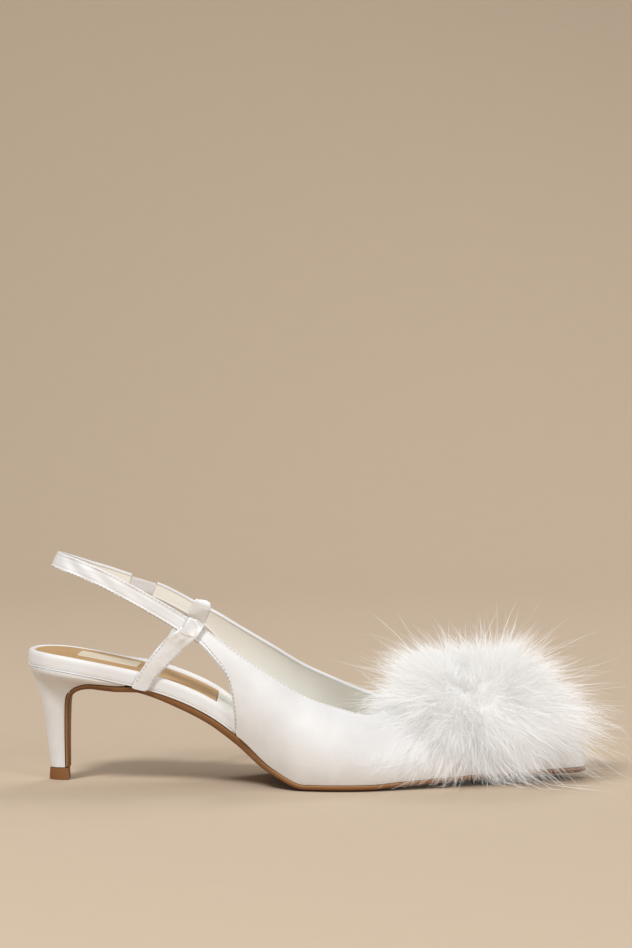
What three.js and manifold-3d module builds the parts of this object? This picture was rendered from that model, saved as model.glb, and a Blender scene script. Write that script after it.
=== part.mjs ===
// A right slingback shoe: a pointed vamp with a feather pompom, an open waist, a wrapped footbed,
// a low tapered heel, and a heel strap that runs through the loops of two side stays.
// Millimetres. X runs from the heel to the toe, Y to the shoe's inner side, Z up.
// The origin is on the floor, under the middle of the top piece.
import * as THREE from "three";
import { mergeVertices } from "three/addons/utils/BufferGeometryUtils.js";
import Module from "manifold-3d";

const wasm = await Module();
wasm.setup();

// Sizes of the last
const lastLength = 251.6; // seat's back to the toe's tip, along the floor, over the upper
const seatBack = 15.8; // the last's back behind the middle of the top piece
const ballWidth = 76; // widest part of the forepart
const seatRise = 49.4; // the seat's edge above the ball's edge
const toeSpring = 2.6; // the toe's edge above the ball's edge
const throatHeight = 29.5; // vamp's ridge above the sole's edge at the throat
const throatAt = 0.669; // share of the last's length where the vamp's opening ends
const throatCurve = 19; // length of the opening's rounded front

// Walls and clearances
const seamGap = 0.3; // between pieces that meet
const upperWall = 1.5;
const bedThickness = 6.8; // wrapped footbed, at the seat and waist
const bedForeThickness = 3; // the same board inside the vamp
const rimLip = 1.3; // footbed's rim above the floor of its recess
const rimWidth = 3; // footbed's edge to the foot of its rim
const cupDepth = 0.25; // the recess's middle below its edge
const sockThickness = 0.8;
const sockJoint = 71; // where the tan heel sock meets the fore sock, along X

// Outsole and heel
const soleThickness = 2.7; // in the middle of the tread
const soleEdge = 1.9; // at its edge
const waistEdge = 3.3; // at the waist's edge, where the sole is bevelled under
const heelEdge = 2.2; // where the sole reaches the heel
const flapThickness = 1.7; // the sole's tongue down the heel's front
const soleBend = 4; // ahead of the heel's front tip, where the sole starts to bend down to it
const soleOverhang = 0.4; // beyond the vamp
const waistInset = 1; // of the sole's edge under the footbed
const topPieceHeight = 5.4;
const topPieceLength = 8.6;
const topPieceWidth = 9.4;

// Straps
const slingWidth = 7;
const slingHeight = 47.5; // middle of the heel strap above the seat's edge, at the back
const elasticWidth = 5.2;
const elasticThickness = 1;
const stayWidth = 8.2;
const stayThickness = 1.2;
const stayBow = 1.8; // how far each stay bows back from its chord
const outerStayAt = 37.5; // foot of the stay on the little toe's side, along X
const innerStayAt = 43.5; // foot of the other one
const loopWall = 1;
const loopLength = 8.4; // of each stay's loop, along the heel strap

// Feather pompom
const pompomLength = 94;
const pompomWidth = 84;
const pompomHeight = 60;
const pompomAt = 184; // along X
const pompomLift = 6; // of its middle above the vamp
const lockLength = 9;
const lockRows = 4; // fineness of the locks' spacing

const OUTER = -1; // the little toe's side, towards -Y
const INNER = 1;
const rad = THREE.MathUtils.degToRad;
const { lerp, clamp, smoothstep } = THREE.MathUtils;

// Rows of numbers under named columns.
const tableOf = (names, rows) =>
  rows.map((row) => Object.fromEntries(names.map((name, k) => [name, row[k]])));

// Sections of the last, from the seat's back to the toe's tip. along is a share of lastLength, middle
// and half of ballWidth, rise of seatRise, spring of toeSpring. ridge, and the opening's outerEdge and
// innerEdge, are heights above the sole's edge, as shares of throatHeight. ridgeY is the ridge's place,
// a share of ballWidth. The tucks are the angles, in degrees, by which a wall turns in at the sole.
const lastRows = tableOf(
  "along middle half rise spring ridge ridgeY outerTuck innerTuck outerEdge innerEdge".split(" "),
  [
    [0, 0.007, 0, 1, 0, 2.1, 0, 12, 30, 1.6, 1.6],
    [0.008, 0.007, 0.129, 0.998, 0, 2.1, 0, 12, 30, 1.6, 1.6],
    [0.029, 0.005, 0.234, 0.992, 0, 2.1, 0, 12, 30, 1.6, 1.6],
    [0.063, 0.003, 0.308, 0.974, 0, 2.1, 0, 12, 30, 1.6, 1.6],
    [0.11, -0.005, 0.337, 0.935, 0, 2.1, 0, 12, 30, 1.6, 1.6],
    [0.166, -0.016, 0.338, 0.879, 0, 2.1, 0.01, 12, 30, 1.56, 1.56],
    [0.222, -0.029, 0.328, 0.814, 0, 2.1, 0.02, 12, 32, 1.434, 1.505],
    [0.277, -0.045, 0.321, 0.723, 0, 2.03, 0.026, 12, 36, 1.305, 1.434],
    [0.333, -0.063, 0.324, 0.587, 0, 1.97, 0.026, 16, 40, 1.247, 1.444],
    [0.389, -0.082, 0.337, 0.385, 0, 1.95, 0.03, 25, 40, 1.25, 1.505],
    [0.444, -0.092, 0.374, 0.134, 0, 1.98, 0.04, 27, 38, 1.366, 1.654],
    [0.5, -0.084, 0.434, 0, 0, 1.85, 0.062, 23, 33, 1.305, 1.583],
    [0.556, -0.061, 0.482, 0, 0, 1.54, 0.072, 18, 28, 1.13, 1.357],
    [0.611, -0.032, 0.495, 0, 0, 1.25, 0.066, 16, 24, 0.99, 1.166],
    [0.667, -0.005, 0.463, 0, 0.27, 1.01, 0.059, 16, 21, 0.92, 1.0],
    [0.723, 0.012, 0.411, 0, 0.5, 0.85, 0.053, 17, 20, 0.9, 0.9],
    [0.778, 0.022, 0.347, 0, 0.69, 0.72, 0.046, 18, 19, 0.9, 0.9],
    [0.834, 0.028, 0.279, 0, 0.85, 0.605, 0.04, 18, 18, 0.9, 0.9],
    [0.889, 0.032, 0.211, 0, 0.96, 0.5, 0.036, 18, 18, 0.9, 0.9],
    [0.939, 0.033, 0.145, 0, 1, 0.405, 0.033, 18, 18, 0.9, 0.9],
    [0.975, 0.033, 0.09, 0, 1, 0.32, 0.033, 18, 18, 0.9, 0.9],
    [0.9936, 0.033, 0.047, 0, 1, 0.24, 0.033, 18, 18, 0.9, 0.9],
    [1, 0.033, 0, 0, 1, 0.17, 0.033, 18, 18, 0.9, 0.9],
  ],
);
const lastIndex = lastRows.length - 1;

// The opening's edge runs smoothly over the floor, so its heights above the ball are columns too.
for (const row of lastRows) {
  const sole = row.rise * seatRise + row.spring * toeSpring;
  row.outerTop = sole + row.outerEdge * throatHeight;
  row.innerTop = sole + row.innerEdge * throatHeight;
}

// Back edge of each wing, from the sole's edge up into the heel strap. low and high are places along the
// last, as shares of its length. outer and inner are the lower edge's heights above the sole's edge, as
// shares of throatHeight.
const wingRows = [
  { low: 0.3816, high: 0.4304, outer: 0, inner: 0 },
  { low: 0.3792, high: 0.4157, outer: 0.197, inner: 0.215 },
  { low: 0.3772, high: 0.4018, outer: 0.41, inner: 0.45 },
  { low: 0.374, high: 0.3887, outer: 0.59, inner: 0.66 },
  { low: 0.3681, high: 0.3768, outer: 0.735, inner: 0.83 },
  { low: 0.3569, high: 0.3657, outer: 0.83, inner: 0.945 },
  { low: 0.3434, high: 0.3537, outer: 0.885, inner: 1.015 },
  { low: 0.3291, high: 0.341, outer: 0.945, inner: 1.08 },
  { low: 0.3132, high: 0.3271, outer: 1.0, inner: 1.135 },
];

// Middle line of the heel strap, from the outer wing round the heel to the inner wing. along is a share
// of lastLength, side of ballWidth, up a height above the seat's edge line, as a share of slingHeight.
// lean is the angle, in degrees, by which the strap's top turns in.
const slingRows = [
  { along: 0.2989, side: -0.345, up: 0.712, lean: 12 },
  { along: 0.2639, side: -0.337, up: 0.752, lean: 10 },
  { along: 0.2289, side: -0.328, up: 0.802, lean: 8 },
  { along: 0.194, side: -0.316, up: 0.857, lean: 8 },
  { along: 0.159, side: -0.297, up: 0.914, lean: 9 },
  { along: 0.124, side: -0.263, up: 0.958, lean: 11 },
  { along: 0.0926, side: -0.205, up: 0.987, lean: 15 },
  { along: 0.0688, side: -0.12, up: 0.998, lean: 21 },
  { along: 0.0572, side: 0.003, up: 1, lean: 25 },
  { along: 0.0676, side: 0.108, up: 0.977, lean: 21 },
  { along: 0.0866, side: 0.18, up: 0.952, lean: 15 },
  { along: 0.1121, side: 0.228, up: 0.924, lean: 11 },
  { along: 0.1483, side: 0.26, up: 0.899, lean: 9 },
  { along: 0.184, side: 0.272, up: 0.872, lean: 8 },
  { along: 0.2293, side: 0.279, up: 0.853, lean: 8 },
  { along: 0.2655, side: 0.282, up: 0.823, lean: 9 },
  { along: 0.2973, side: 0.284, up: 0.798, lean: 11 },
];

// Rows between which the elastic closes the strap.
const elasticFrom = 13;
const elasticTo = 14;

// Side stay, from its foot to its loop, as shares of stayWidth and stayBow.
const stayRows = [
  { width: 0.92, bow: 0 },
  { width: 0.97, bow: 0.8 },
  { width: 1.1, bow: 1 },
  { width: 1.22, bow: 0.9 },
  { width: 1.28, bow: 0.3 },
];

// Heel, from the seat down to the top piece. back and front are places along X from the origin, half a
// half width and middle its place along Y, all as shares of heelReach. backUp and frontUp are shares of
// the heel's own height. straight is the share of a section's depth before its back rounds.
const heelReach = 32.5; // the heel's front tip ahead of the origin
const heelRows = [
  { back: -0.412, front: 0.95, backUp: 1, frontUp: 0.838, half: 0.735, middle: -0.022, straight: 0.45 },
  { back: -0.398, front: 0.8, backUp: 0.969, frontUp: 0.832, half: 0.71, middle: -0.018, straight: 0.42 },
  { back: -0.372, front: 0.61, backUp: 0.921, frontUp: 0.838, half: 0.64, middle: -0.01, straight: 0.36 },
  { back: -0.345, front: 0.43, backUp: 0.883, frontUp: 0.837, half: 0.535, middle: -0.005, straight: 0.3 },
  { back: -0.32, front: 0.285, backUp: 0.834, frontUp: 0.811, half: 0.445, middle: 0, straight: 0.25 },
  { back: -0.297, front: 0.18, backUp: 0.779, frontUp: 0.766, half: 0.37, middle: 0, straight: 0.22 },
  { back: -0.268, front: 0.112, backUp: 0.714, frontUp: 0.709, half: 0.315, middle: 0, straight: 0.2 },
  { back: -0.24, front: 0.09, backUp: 0.627, frontUp: 0.627, half: 0.274, middle: 0, straight: 0.2 },
  { back: -0.208, front: 0.083, backUp: 0.506, frontUp: 0.506, half: 0.236, middle: 0, straight: 0.2 },
  { back: -0.178, front: 0.08, backUp: 0.349, frontUp: 0.349, half: 0.203, middle: 0, straight: 0.2 },
  { back: -0.149, front: 0.08, backUp: 0.175, frontUp: 0.175, half: 0.174, middle: 0, straight: 0.2 },
  { back: -0.117, front: 0.083, backUp: 0, frontUp: 0, half: 0.149, middle: 0, straight: 0.2 },
];

// Values between two rows of a table. The ends mirror: a half width changes sign there, the rest don't.
function columnAt(rows, key, index, mirrored = false, monotone = true) {
  const end = rows.length - 1;
  const sign = mirrored ? -1 : 1;
  const value = (k) => {
    if (k < 0) return sign * rows[-k][key];
    if (k > end) return sign * rows[2 * end - k][key];
    return rows[k][key];
  };
  const slope = (k) => {
    const before = value(k) - value(k - 1);
    const after = value(k + 1) - value(k);
    if (!monotone) return (before + after) / 2;
    return before * after <= 0 ? 0 : (2 * before * after) / (before + after);
  };
  const k = clamp(Math.floor(index), 0, end - 1);
  const t = clamp(index - k, 0, 1);
  const t2 = t * t;
  const t3 = t2 * t;
  return (
    (2 * t3 - 3 * t2 + 1) * value(k) +
    (t3 - 2 * t2 + t) * slope(k) +
    (3 * t2 - 2 * t3) * value(k + 1) +
    (t3 - t2) * slope(k + 1)
  );
}

const ballUp = soleThickness + seamGap; // the sole's edge line above the floor, at the ball

// Everything the last says about one place, given by its row index.
function lastAt(index) {
  const column = (key, mirrored, monotone) => columnAt(lastRows, key, index, mirrored, monotone);
  const sole = column("rise") * seatRise + column("spring") * toeSpring;
  return {
    x: column("along") * lastLength - seatBack,
    middle: column("middle") * ballWidth,
    half: column("half", true, false) * ballWidth,
    edgeZ: ballUp + sole,
    ridge: column("ridge", false, false) * throatHeight,
    ridgeY: column("ridgeY", false, false) * ballWidth,
    tuck: { [OUTER]: rad(column("outerTuck")), [INNER]: rad(column("innerTuck")) },
    edge: {
      [OUTER]: column("outerTop", false, false) - sole,
      [INNER]: column("innerTop", false, false) - sole,
    },
  };
}

// The row index at a place along X.
function indexAt(x) {
  let low = 0;
  let high = lastIndex;
  for (let step = 0; step < 30; step++) {
    const mid = (low + high) / 2;
    if (columnAt(lastRows, "along", mid) * lastLength - seatBack < x) low = mid;
    else high = mid;
  }
  return (low + high) / 2;
}
const xAt = (share) => share * lastLength - seatBack;
const edgeZAt = (x) => lastAt(indexAt(x)).edgeZ;
const throatX = xAt(throatAt);

// A point of the last's surface, sunk by depth. phi runs from minus the tuck, at the sole's edge, to a
// right angle, on the ridge.
function onLast(index, phi, side, depth) {
  const at = lastAt(index);
  const tuck = at.tuck[side];
  const sinTuck = Math.sin(tuck);
  const reach = (at.middle + side * at.half - at.ridgeY) / Math.cos(tuck);
  const width = reach - side * Math.min(depth, Math.abs(reach));
  const share = 1 - (1 - Math.sin(phi)) / (1 + sinTuck);
  const tip = smoothstep(at.x, xAt(1) - 4 * upperWall, xAt(1));
  return new THREE.Vector3(
    at.x - depth * tip,
    at.ridgeY + width * Math.cos(phi),
    at.edgeZ + Math.max(at.ridge - depth * (1 - 0.5 * tip), 0) * share,
  );
}

// The angle phi at which the last's surface has a height above the sole's edge.
function phiAt(index, side, height) {
  const at = lastAt(index);
  const sinTuck = Math.sin(at.tuck[side]);
  return Math.asin(clamp((height / at.ridge) * (1 + sinTuck) - sinTuck, -1, 1));
}

// The opening's edge on one side, as an angle phi. Its rounded front climbs to the ridge at the throat.
function openingPhi(index, side) {
  const at = lastAt(index);
  const share = clamp((at.x - (throatX - throatCurve)) / throatCurve, 0, 1);
  const climb = 1 - Math.sqrt(1 - share * share);
  return lerp(phiAt(index, side, at.edge[side]), Math.PI / 2, climb);
}

// Stations of the upper. Each is a function of v, from 0 at its lower edge to 1 at its upper edge, and
// of depth below the outer face.
function vampStation(index, side) {
  return (v, depth) => {
    const phi = lerp(-lastAt(index).tuck[side], Math.PI / 2, v);
    return onLast(index, phi, side, depth);
  };
}

function quarterStation(lowX, highX, side, lowHeight) {
  const lowIndex = indexAt(lowX);
  const highIndex = indexAt(highX);
  const lowPhi = phiAt(lowIndex, side, lowHeight);
  const highPhi = openingPhi(highIndex, side);
  return (v, depth) => onLast(indexAt(lerp(lowX, highX, v)), lerp(lowPhi, highPhi, v), side, depth);
}

// The heel strap's middle line, and its frame: along it, out of it and up across it.
const slingCurve = new THREE.CatmullRomCurve3(
  slingRows.map((row) => {
    const x = xAt(row.along);
    return new THREE.Vector3(x, row.side * ballWidth, edgeZAt(x) + row.up * slingHeight);
  }),
  false,
  "catmullrom",
  0.5,
);
function slingFrame(row) {
  const t = row / (slingRows.length - 1);
  const centre = slingCurve.getPoint(t);
  const along = slingCurve.getTangent(t);
  const lean = rad(columnAt(slingRows, "lean", row));
  const flatOut = new THREE.Vector3(-along.y, along.x, 0).normalize();
  const out = flatOut.multiplyScalar(Math.cos(lean)).add(new THREE.Vector3(0, 0, Math.sin(lean)));
  out.addScaledVector(along, -out.dot(along)).normalize();
  const up = new THREE.Vector3().crossVectors(along, out).normalize();
  if (up.z < 0) up.negate();
  return { centre, along, out, up };
}
function slingStation(row, width = slingWidth, thickness = upperWall) {
  const { centre, out, up } = slingFrame(row);
  return (v, depth) =>
    centre
      .clone()
      .addScaledVector(up, (v - 0.5) * width)
      .addScaledVector(out, thickness / 2 - depth);
}

// Closed mesh from rings of points: each ring is a closed loop, and the first and last are filled.
function loft(rings) {
  const count = rings[0].length;
  const positions = [];
  const put = (a, b, c) => positions.push(a.x, a.y, a.z, b.x, b.y, b.z, c.x, c.y, c.z);
  for (let r = 0; r + 1 < rings.length; r++)
    for (let k = 0; k < count; k++) {
      const next = (k + 1) % count;
      put(rings[r][k], rings[r + 1][k], rings[r][next]);
      put(rings[r][next], rings[r + 1][k], rings[r + 1][next]);
    }
  const fill = (ring, turned) => {
    // A section is two facing rows of points, so the cap is the ladder between them.
    for (let k = 0; 2 * k + 2 < count; k++) {
      const [a, b, c, d] = [ring[k], ring[k + 1], ring[count - 2 - k], ring[count - 1 - k]];
      if (turned) {
        put(a, b, d);
        if (k + 1 < count - 2 - k) put(b, c, d);
      } else {
        put(a, d, b);
        if (k + 1 < count - 2 - k) put(b, d, c);
      }
    }
  };
  fill(rings[0], true);
  fill(rings[rings.length - 1], false);
  return positions;
}

// Turns triangle corners into a manifold solid: merges equal corners, drops collapsed triangles.
function solid(positions) {
  const raw = new THREE.BufferGeometry();
  raw.setAttribute("position", new THREE.Float32BufferAttribute(positions, 3));
  const merged = mergeVertices(raw, 1e-3);
  const kept = [];
  const index = merged.index.array;
  for (let k = 0; k < index.length; k += 3) {
    const [a, b, c] = [index[k], index[k + 1], index[k + 2]];
    if (a !== b && b !== c && c !== a) kept.push(a, b, c);
  }
  const build = (triVerts) =>
    new wasm.Manifold(
      new wasm.Mesh({
        numProp: 3,
        vertProperties: merged.attributes.position.array,
        triVerts: new Uint32Array(triVerts),
      }),
    );
  const made = build(kept);
  if (made.volume() > 0) return made;
  const turned = [];
  for (let k = 0; k < kept.length; k += 3) turned.push(kept[k], kept[k + 2], kept[k + 1]);
  return build(turned);
}

function geometryOf(made) {
  const mesh = made.getMesh();
  const geometry = new THREE.BufferGeometry();
  const positions = new Float32Array(mesh.numVert * 3);
  for (let k = 0; k < mesh.numVert; k++)
    positions.set(mesh.vertProperties.subarray(k * mesh.numProp, k * mesh.numProp + 3), k * 3);
  geometry.setAttribute("position", new THREE.BufferAttribute(positions, 3));
  geometry.setIndex(new THREE.BufferAttribute(mesh.triVerts, 1));
  geometry.computeVertexNormals();
  return geometry;
}

// A wall with an outer and an inner face, from stations. grow swells it on every side.
function wallSolid(stations, columns, wall, grow = 0) {
  const rings = stations.map((station) => {
    const height = station(0, 0).distanceTo(station(1, 0));
    const extra = grow / height;
    const ring = [];
    for (let j = 0; j <= columns; j++) ring.push(station(lerp(-extra, 1 + extra, j / columns), -grow));
    for (let j = columns; j >= 0; j--) ring.push(station(lerp(-extra, 1 + extra, j / columns), wall + grow));
    return ring;
  });
  return solid(loft(rings));
}

const columns = 8; // facets of the upper's wall from edge to edge

// Stations of one side's quarter, from the throat back to the wing's end.
function quarterStations(side) {
  const stations = [vampStation(indexAt(throatX), side)];
  const cornerX = xAt(wingRows[0].low);
  const cornerHighX = xAt(wingRows[0].high);
  const steps = 16;
  for (let k = 1; k < steps; k++) {
    // Steps shorten towards the throat, where the opening turns across the foot.
    const t = lerp(k / steps, 1 - Math.cos((k / steps) * (Math.PI / 2)), 0.5);
    stations.push(quarterStation(lerp(throatX, cornerX, t), lerp(throatX, cornerHighX, t), side, 0));
  }
  const fineness = 1.5;
  const wingSteps = (wingRows.length - 1) * fineness;
  for (let k = 0; k <= wingSteps; k++) {
    const row = k / fineness;
    const column = (key) => columnAt(wingRows, key, row, false, key !== "low");
    const height = column(side === OUTER ? "outer" : "inner") * throatHeight;
    stations.push(quarterStation(xAt(column("low")), xAt(column("high")), side, height));
  }
  return stations;
}

function slingStations(from, to, count, width, thickness) {
  const stations = [];
  for (let k = 0; k <= count; k++) stations.push(slingStation(lerp(from, to, k / count), width, thickness));
  return stations;
}

// The upper: the vamp over the toes, both quarters, and the heel strap that grows out of them.
function upper() {
  const throatIndex = indexAt(throatX);
  const vampSteps = 16;
  const slingEnd = slingRows.length - 1;
  const halves = [OUTER, INNER].map((side) => {
    const vamp = [];
    for (let k = 0; k < vampSteps; k++) {
      const t = Math.sin((k / vampSteps) * (Math.PI / 2));
      vamp.push(vampStation(lerp(lastIndex, throatIndex, 0.5 * (k / vampSteps) + 0.5 * t), side));
    }
    const strap =
      side === OUTER
        ? slingStations(0, elasticFrom, 24)
        : slingStations(slingEnd, elasticTo, 6);
    return { side, stations: [...vamp, ...quarterStations(side), ...strap], vamp: vamp.length };
  });
  const positions = [];
  const put = (a, b, c) => positions.push(a.x, a.y, a.z, b.x, b.y, b.z, c.x, c.y, c.z);
  const quad = (a, b, c, d, turned) => {
    if (turned) {
      put(a, d, b);
      put(b, d, c);
    } else {
      put(a, b, d);
      put(b, c, d);
    }
  };
  for (const { side, stations, vamp } of halves) {
    const turned = side === INNER;
    const out = (s, j) => stations[s](j / columns, 0);
    const inn = (s, j) => stations[s](j / columns, upperWall);
    for (let s = 0; s + 1 < stations.length; s++) {
      for (let j = 0; j < columns; j++) {
        const next = j + 1;
        quad(out(s, j), out(s, next), out(s + 1, next), out(s + 1, j), turned);
        quad(inn(s, j), inn(s + 1, j), inn(s + 1, next), inn(s, next), turned);
      }
      quad(inn(s, 0), out(s, 0), out(s + 1, 0), inn(s + 1, 0), turned);
      // The upper edge has a face of its own only behind the throat: ahead of it the halves meet.
      if (s >= vamp)
        quad(out(s, columns), inn(s, columns), inn(s + 1, columns), out(s + 1, columns), turned);
    }
    const last = stations.length - 1;
    for (let j = 0; j < columns; j++)
      quad(out(last, j), out(last, j + 1), inn(last, j + 1), inn(last, j), turned);
  }
  return solid(positions);
}

// The elastic that closes the heel strap on the inner side.
function elasticInsert() {
  const gap = seamGap / slingCurve.getLength() * (slingRows.length - 1);
  const stations = slingStations(elasticFrom + gap, elasticTo - gap, 4, elasticWidth, elasticThickness);
  return wallSolid(stations, 2, elasticThickness);
}

// A frame square to the sole's edge line: the point on it, and the way up from the sole.
function bedFrame(x) {
  const step = 1.5;
  const z = edgeZAt(x);
  const slope = (edgeZAt(x + step) - edgeZAt(x - step)) / (2 * step);
  return { z, up: new THREE.Vector3(-slope, 0, 1).normalize() };
}
const bedThicknessAt = (x) => lerp(bedThickness, bedForeThickness, smoothstep(x, xAt(0.4), xAt(0.5)));

// Plan outline of a piece that lies on the last's bottom, inset from the upper's outer face, with the
// spine point that each outline point faces. Outline points come in pairs with equal X.
const outlineSteps = 34;
function outline(inset) {
  const points = [];
  const spineFrom = indexAt(xAt(0.1));
  const spineTo = indexAt(xAt(0.95));
  const add = (index, side) => {
    const at = lastAt(index);
    const spine = lastAt(clamp(index, spineFrom, spineTo));
    const edge = new THREE.Vector2(at.x, at.middle + side * at.half);
    const centre = new THREE.Vector2(spine.x, spine.middle);
    const way = centre.clone().sub(edge);
    const distance = way.length();
    // The toe's cavity narrows upwards, so what lies in it stops short of the tip.
    const sunk = inset * lerp(1, 2.6, smoothstep(at.x, xAt(0.96), xAt(1)));
    edge.addScaledVector(way.normalize(), sunk);
    points.push({ edge, centre, distance: distance - sunk });
  };
  for (let k = 0; k <= outlineSteps; k++) add((k / outlineSteps) * lastIndex, OUTER);
  for (let k = outlineSteps - 1; k > 0; k--) add((k / outlineSteps) * lastIndex, INNER);
  return points;
}

// A slab on the last's bottom: rings from the middle of its underside round its edge to the middle of
// its top. A ring's in is a distance from the outline, or its share is a share of the way to the spine.
function slab(inset, rings) {
  const points = outline(inset);
  const place = (point, ring) => {
    const share = ring.share !== undefined ? ring.share : clamp(ring.in / point.distance, 0, 0.9);
    const plan = point.edge.clone().lerp(point.centre, share);
    const { z, up } = bedFrame(plan.x);
    return new THREE.Vector3(plan.x, plan.y, z).addScaledVector(up, ring.height(plan.x));
  };
  const made = rings.map((ring) => points.map((point) => place(point, ring)));
  const positions = [];
  const put = (a, b, c) => positions.push(a.x, a.y, a.z, b.x, b.y, b.z, c.x, c.y, c.z);
  for (let r = 0; r + 1 < made.length; r++)
    for (let k = 0; k < points.length; k++) {
      const next = (k + 1) % points.length;
      put(made[r][k], made[r][next], made[r + 1][k]);
      put(made[r][next], made[r + 1][next], made[r + 1][k]);
    }
  return solid(positions);
}

const bedInset = upperWall + seamGap;
const recessHeight = (x, share) => bedThicknessAt(x) - rimLip * rimShare(x) - cupDepth * rimShare(x) * share;
const rimShare = (x) => lerp(1, 0.4, smoothstep(x, xAt(0.4), xAt(0.5)));

// The footbed: a board wrapped in satin, with a rounded edge and a rim round a shallow recess.
function footbed() {
  const round = 0.3 * bedThickness;
  const level = (height) => () => height;
  const top = (drop) => (x) => bedThicknessAt(x) - drop * rimShare(x);
  return slab(bedInset, [
    { share: 1, height: level(0) },
    { in: 0.6 * round, height: level(0) },
    { in: 0.15 * round, height: (x) => 0.08 * bedThicknessAt(x) },
    { in: 0, height: (x) => 0.3 * bedThicknessAt(x) },
    { in: 0, height: (x) => 0.68 * bedThicknessAt(x) },
    { in: 0.2 * rimWidth, height: top(0.25 * rimLip) },
    { in: 0.45 * rimWidth, height: top(0) },
    { in: 0.7 * rimWidth, height: top(0.35 * rimLip) },
    { in: rimWidth, height: (x) => recessHeight(x, 0) },
    { share: 0.5, height: (x) => recessHeight(x, 0.75) },
    { share: 1, height: (x) => recessHeight(x, 1) },
  ]);
}

// The sock lies in the footbed's recess. It is cut across where its two materials meet.
function socks() {
  const lay = (share, lift) => (x) => recessHeight(x, share) + lift;
  const top = seamGap + sockThickness;
  const whole = slab(bedInset, [
    { share: 1, height: lay(1, seamGap) },
    { share: 0.5, height: lay(0.75, seamGap) },
    { in: rimWidth + seamGap, height: lay(0, seamGap) },
    { in: rimWidth + seamGap, height: lay(0, 0.6 * top + 0.4 * seamGap) },
    { in: rimWidth + 2 * seamGap, height: lay(0, top) },
    { share: 0.5, height: lay(0.75, top) },
    { share: 1, height: lay(1, top) },
  ]);
  const reach = 2 * lastLength;
  const block = (from, to) => {
    const box = new THREE.BoxGeometry(to - from, reach, reach);
    box.translate((from + to) / 2, 0, 0);
    return solid([...box.toNonIndexed().attributes.position.array]);
  };
  return {
    heelSock: whole.intersect(block(-reach, sockJoint - seamGap / 2)),
    foreSock: whole.intersect(block(sockJoint + seamGap / 2, reach)),
  };
}

// Heel sections as planar rings, from the seat down. Each is a straight front edge and a rounded back.
function onHeel(along, up) {
  return new THREE.Vector3(
    along * heelReach,
    0,
    lerp(topPieceHeight + seamGap, edgeZAt(-seatBack) - seamGap, up),
  );
}
function heelRing(row) {
  const back = onHeel(row.back, row.backUp);
  const front = onHeel(row.front, row.frontUp);
  const half = row.half * heelReach;
  const middle = row.middle * heelReach;
  const ring = [];
  const arcSteps = 14;
  const point = (depth, side) => {
    const p = front.clone().lerp(back, depth);
    p.y = middle + side;
    return p;
  };
  for (let k = 0; k <= arcSteps; k++) {
    const angle = lerp(-Math.PI / 2, Math.PI / 2, k / arcSteps);
    const round = 1 - row.straight;
    ring.push(point(row.straight + round * Math.cos(angle) ** 0.92, half * Math.sin(angle)));
  }
  ring.push(point(0, half * 0.97));
  ring.push(point(-0.012, half * 0.4));
  ring.push(point(-0.012, -half * 0.4));
  ring.push(point(0, -half * 0.97));
  return ring;
}

// Closed mesh from rings that may be filled by a fan, as flat convex sections are.
function fanLoft(rings) {
  const positions = [];
  const put = (a, b, c) => positions.push(a.x, a.y, a.z, b.x, b.y, b.z, c.x, c.y, c.z);
  for (let r = 0; r + 1 < rings.length; r++)
    for (let k = 0; k < rings[r].length; k++) {
      const next = (k + 1) % rings[r].length;
      put(rings[r][k], rings[r + 1][k], rings[r][next]);
      put(rings[r][next], rings[r + 1][k], rings[r + 1][next]);
    }
  const fill = (ring, turned) => {
    const centre = new THREE.Vector3();
    ring.forEach((p) => centre.add(p));
    centre.divideScalar(ring.length);
    ring.forEach((p, k) => {
      const next = ring[(k + 1) % ring.length];
      if (turned) put(centre, p, next);
      else put(centre, next, p);
    });
  };
  fill(rings[0], true);
  fill(rings[rings.length - 1], false);
  return solid(positions);
}

function heel() {
  const rings = heelRows.map((row) => heelRing(row));
  for (const p of rings[0]) p.z = edgeZAt(p.x) - seamGap;
  return fanLoft(rings);
}

// The top piece: the hard wearing tip that the heel stands on, a little wider at the floor.
function topPiece() {
  const flare = 0.06;
  const corner = 0.25 * topPieceLength;
  const outlineAt = (z, spread) => {
    const ring = [];
    const half = (topPieceWidth / 2) * spread;
    const front = (topPieceLength / 2) * spread;
    const arcSteps = 14;
    for (let k = 0; k <= arcSteps; k++) {
      const angle = lerp(-Math.PI / 2, Math.PI / 2, k / arcSteps);
      ring.push(new THREE.Vector3(corner - (front + corner) * Math.cos(angle), half * Math.sin(angle), z));
    }
    ring.push(new THREE.Vector3(front, half * 0.96, z));
    ring.push(new THREE.Vector3(front, -half * 0.96, z));
    return ring;
  };
  return fanLoft([outlineAt(0, 1 + flare), outlineAt(topPieceHeight, 1)]);
}

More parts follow.
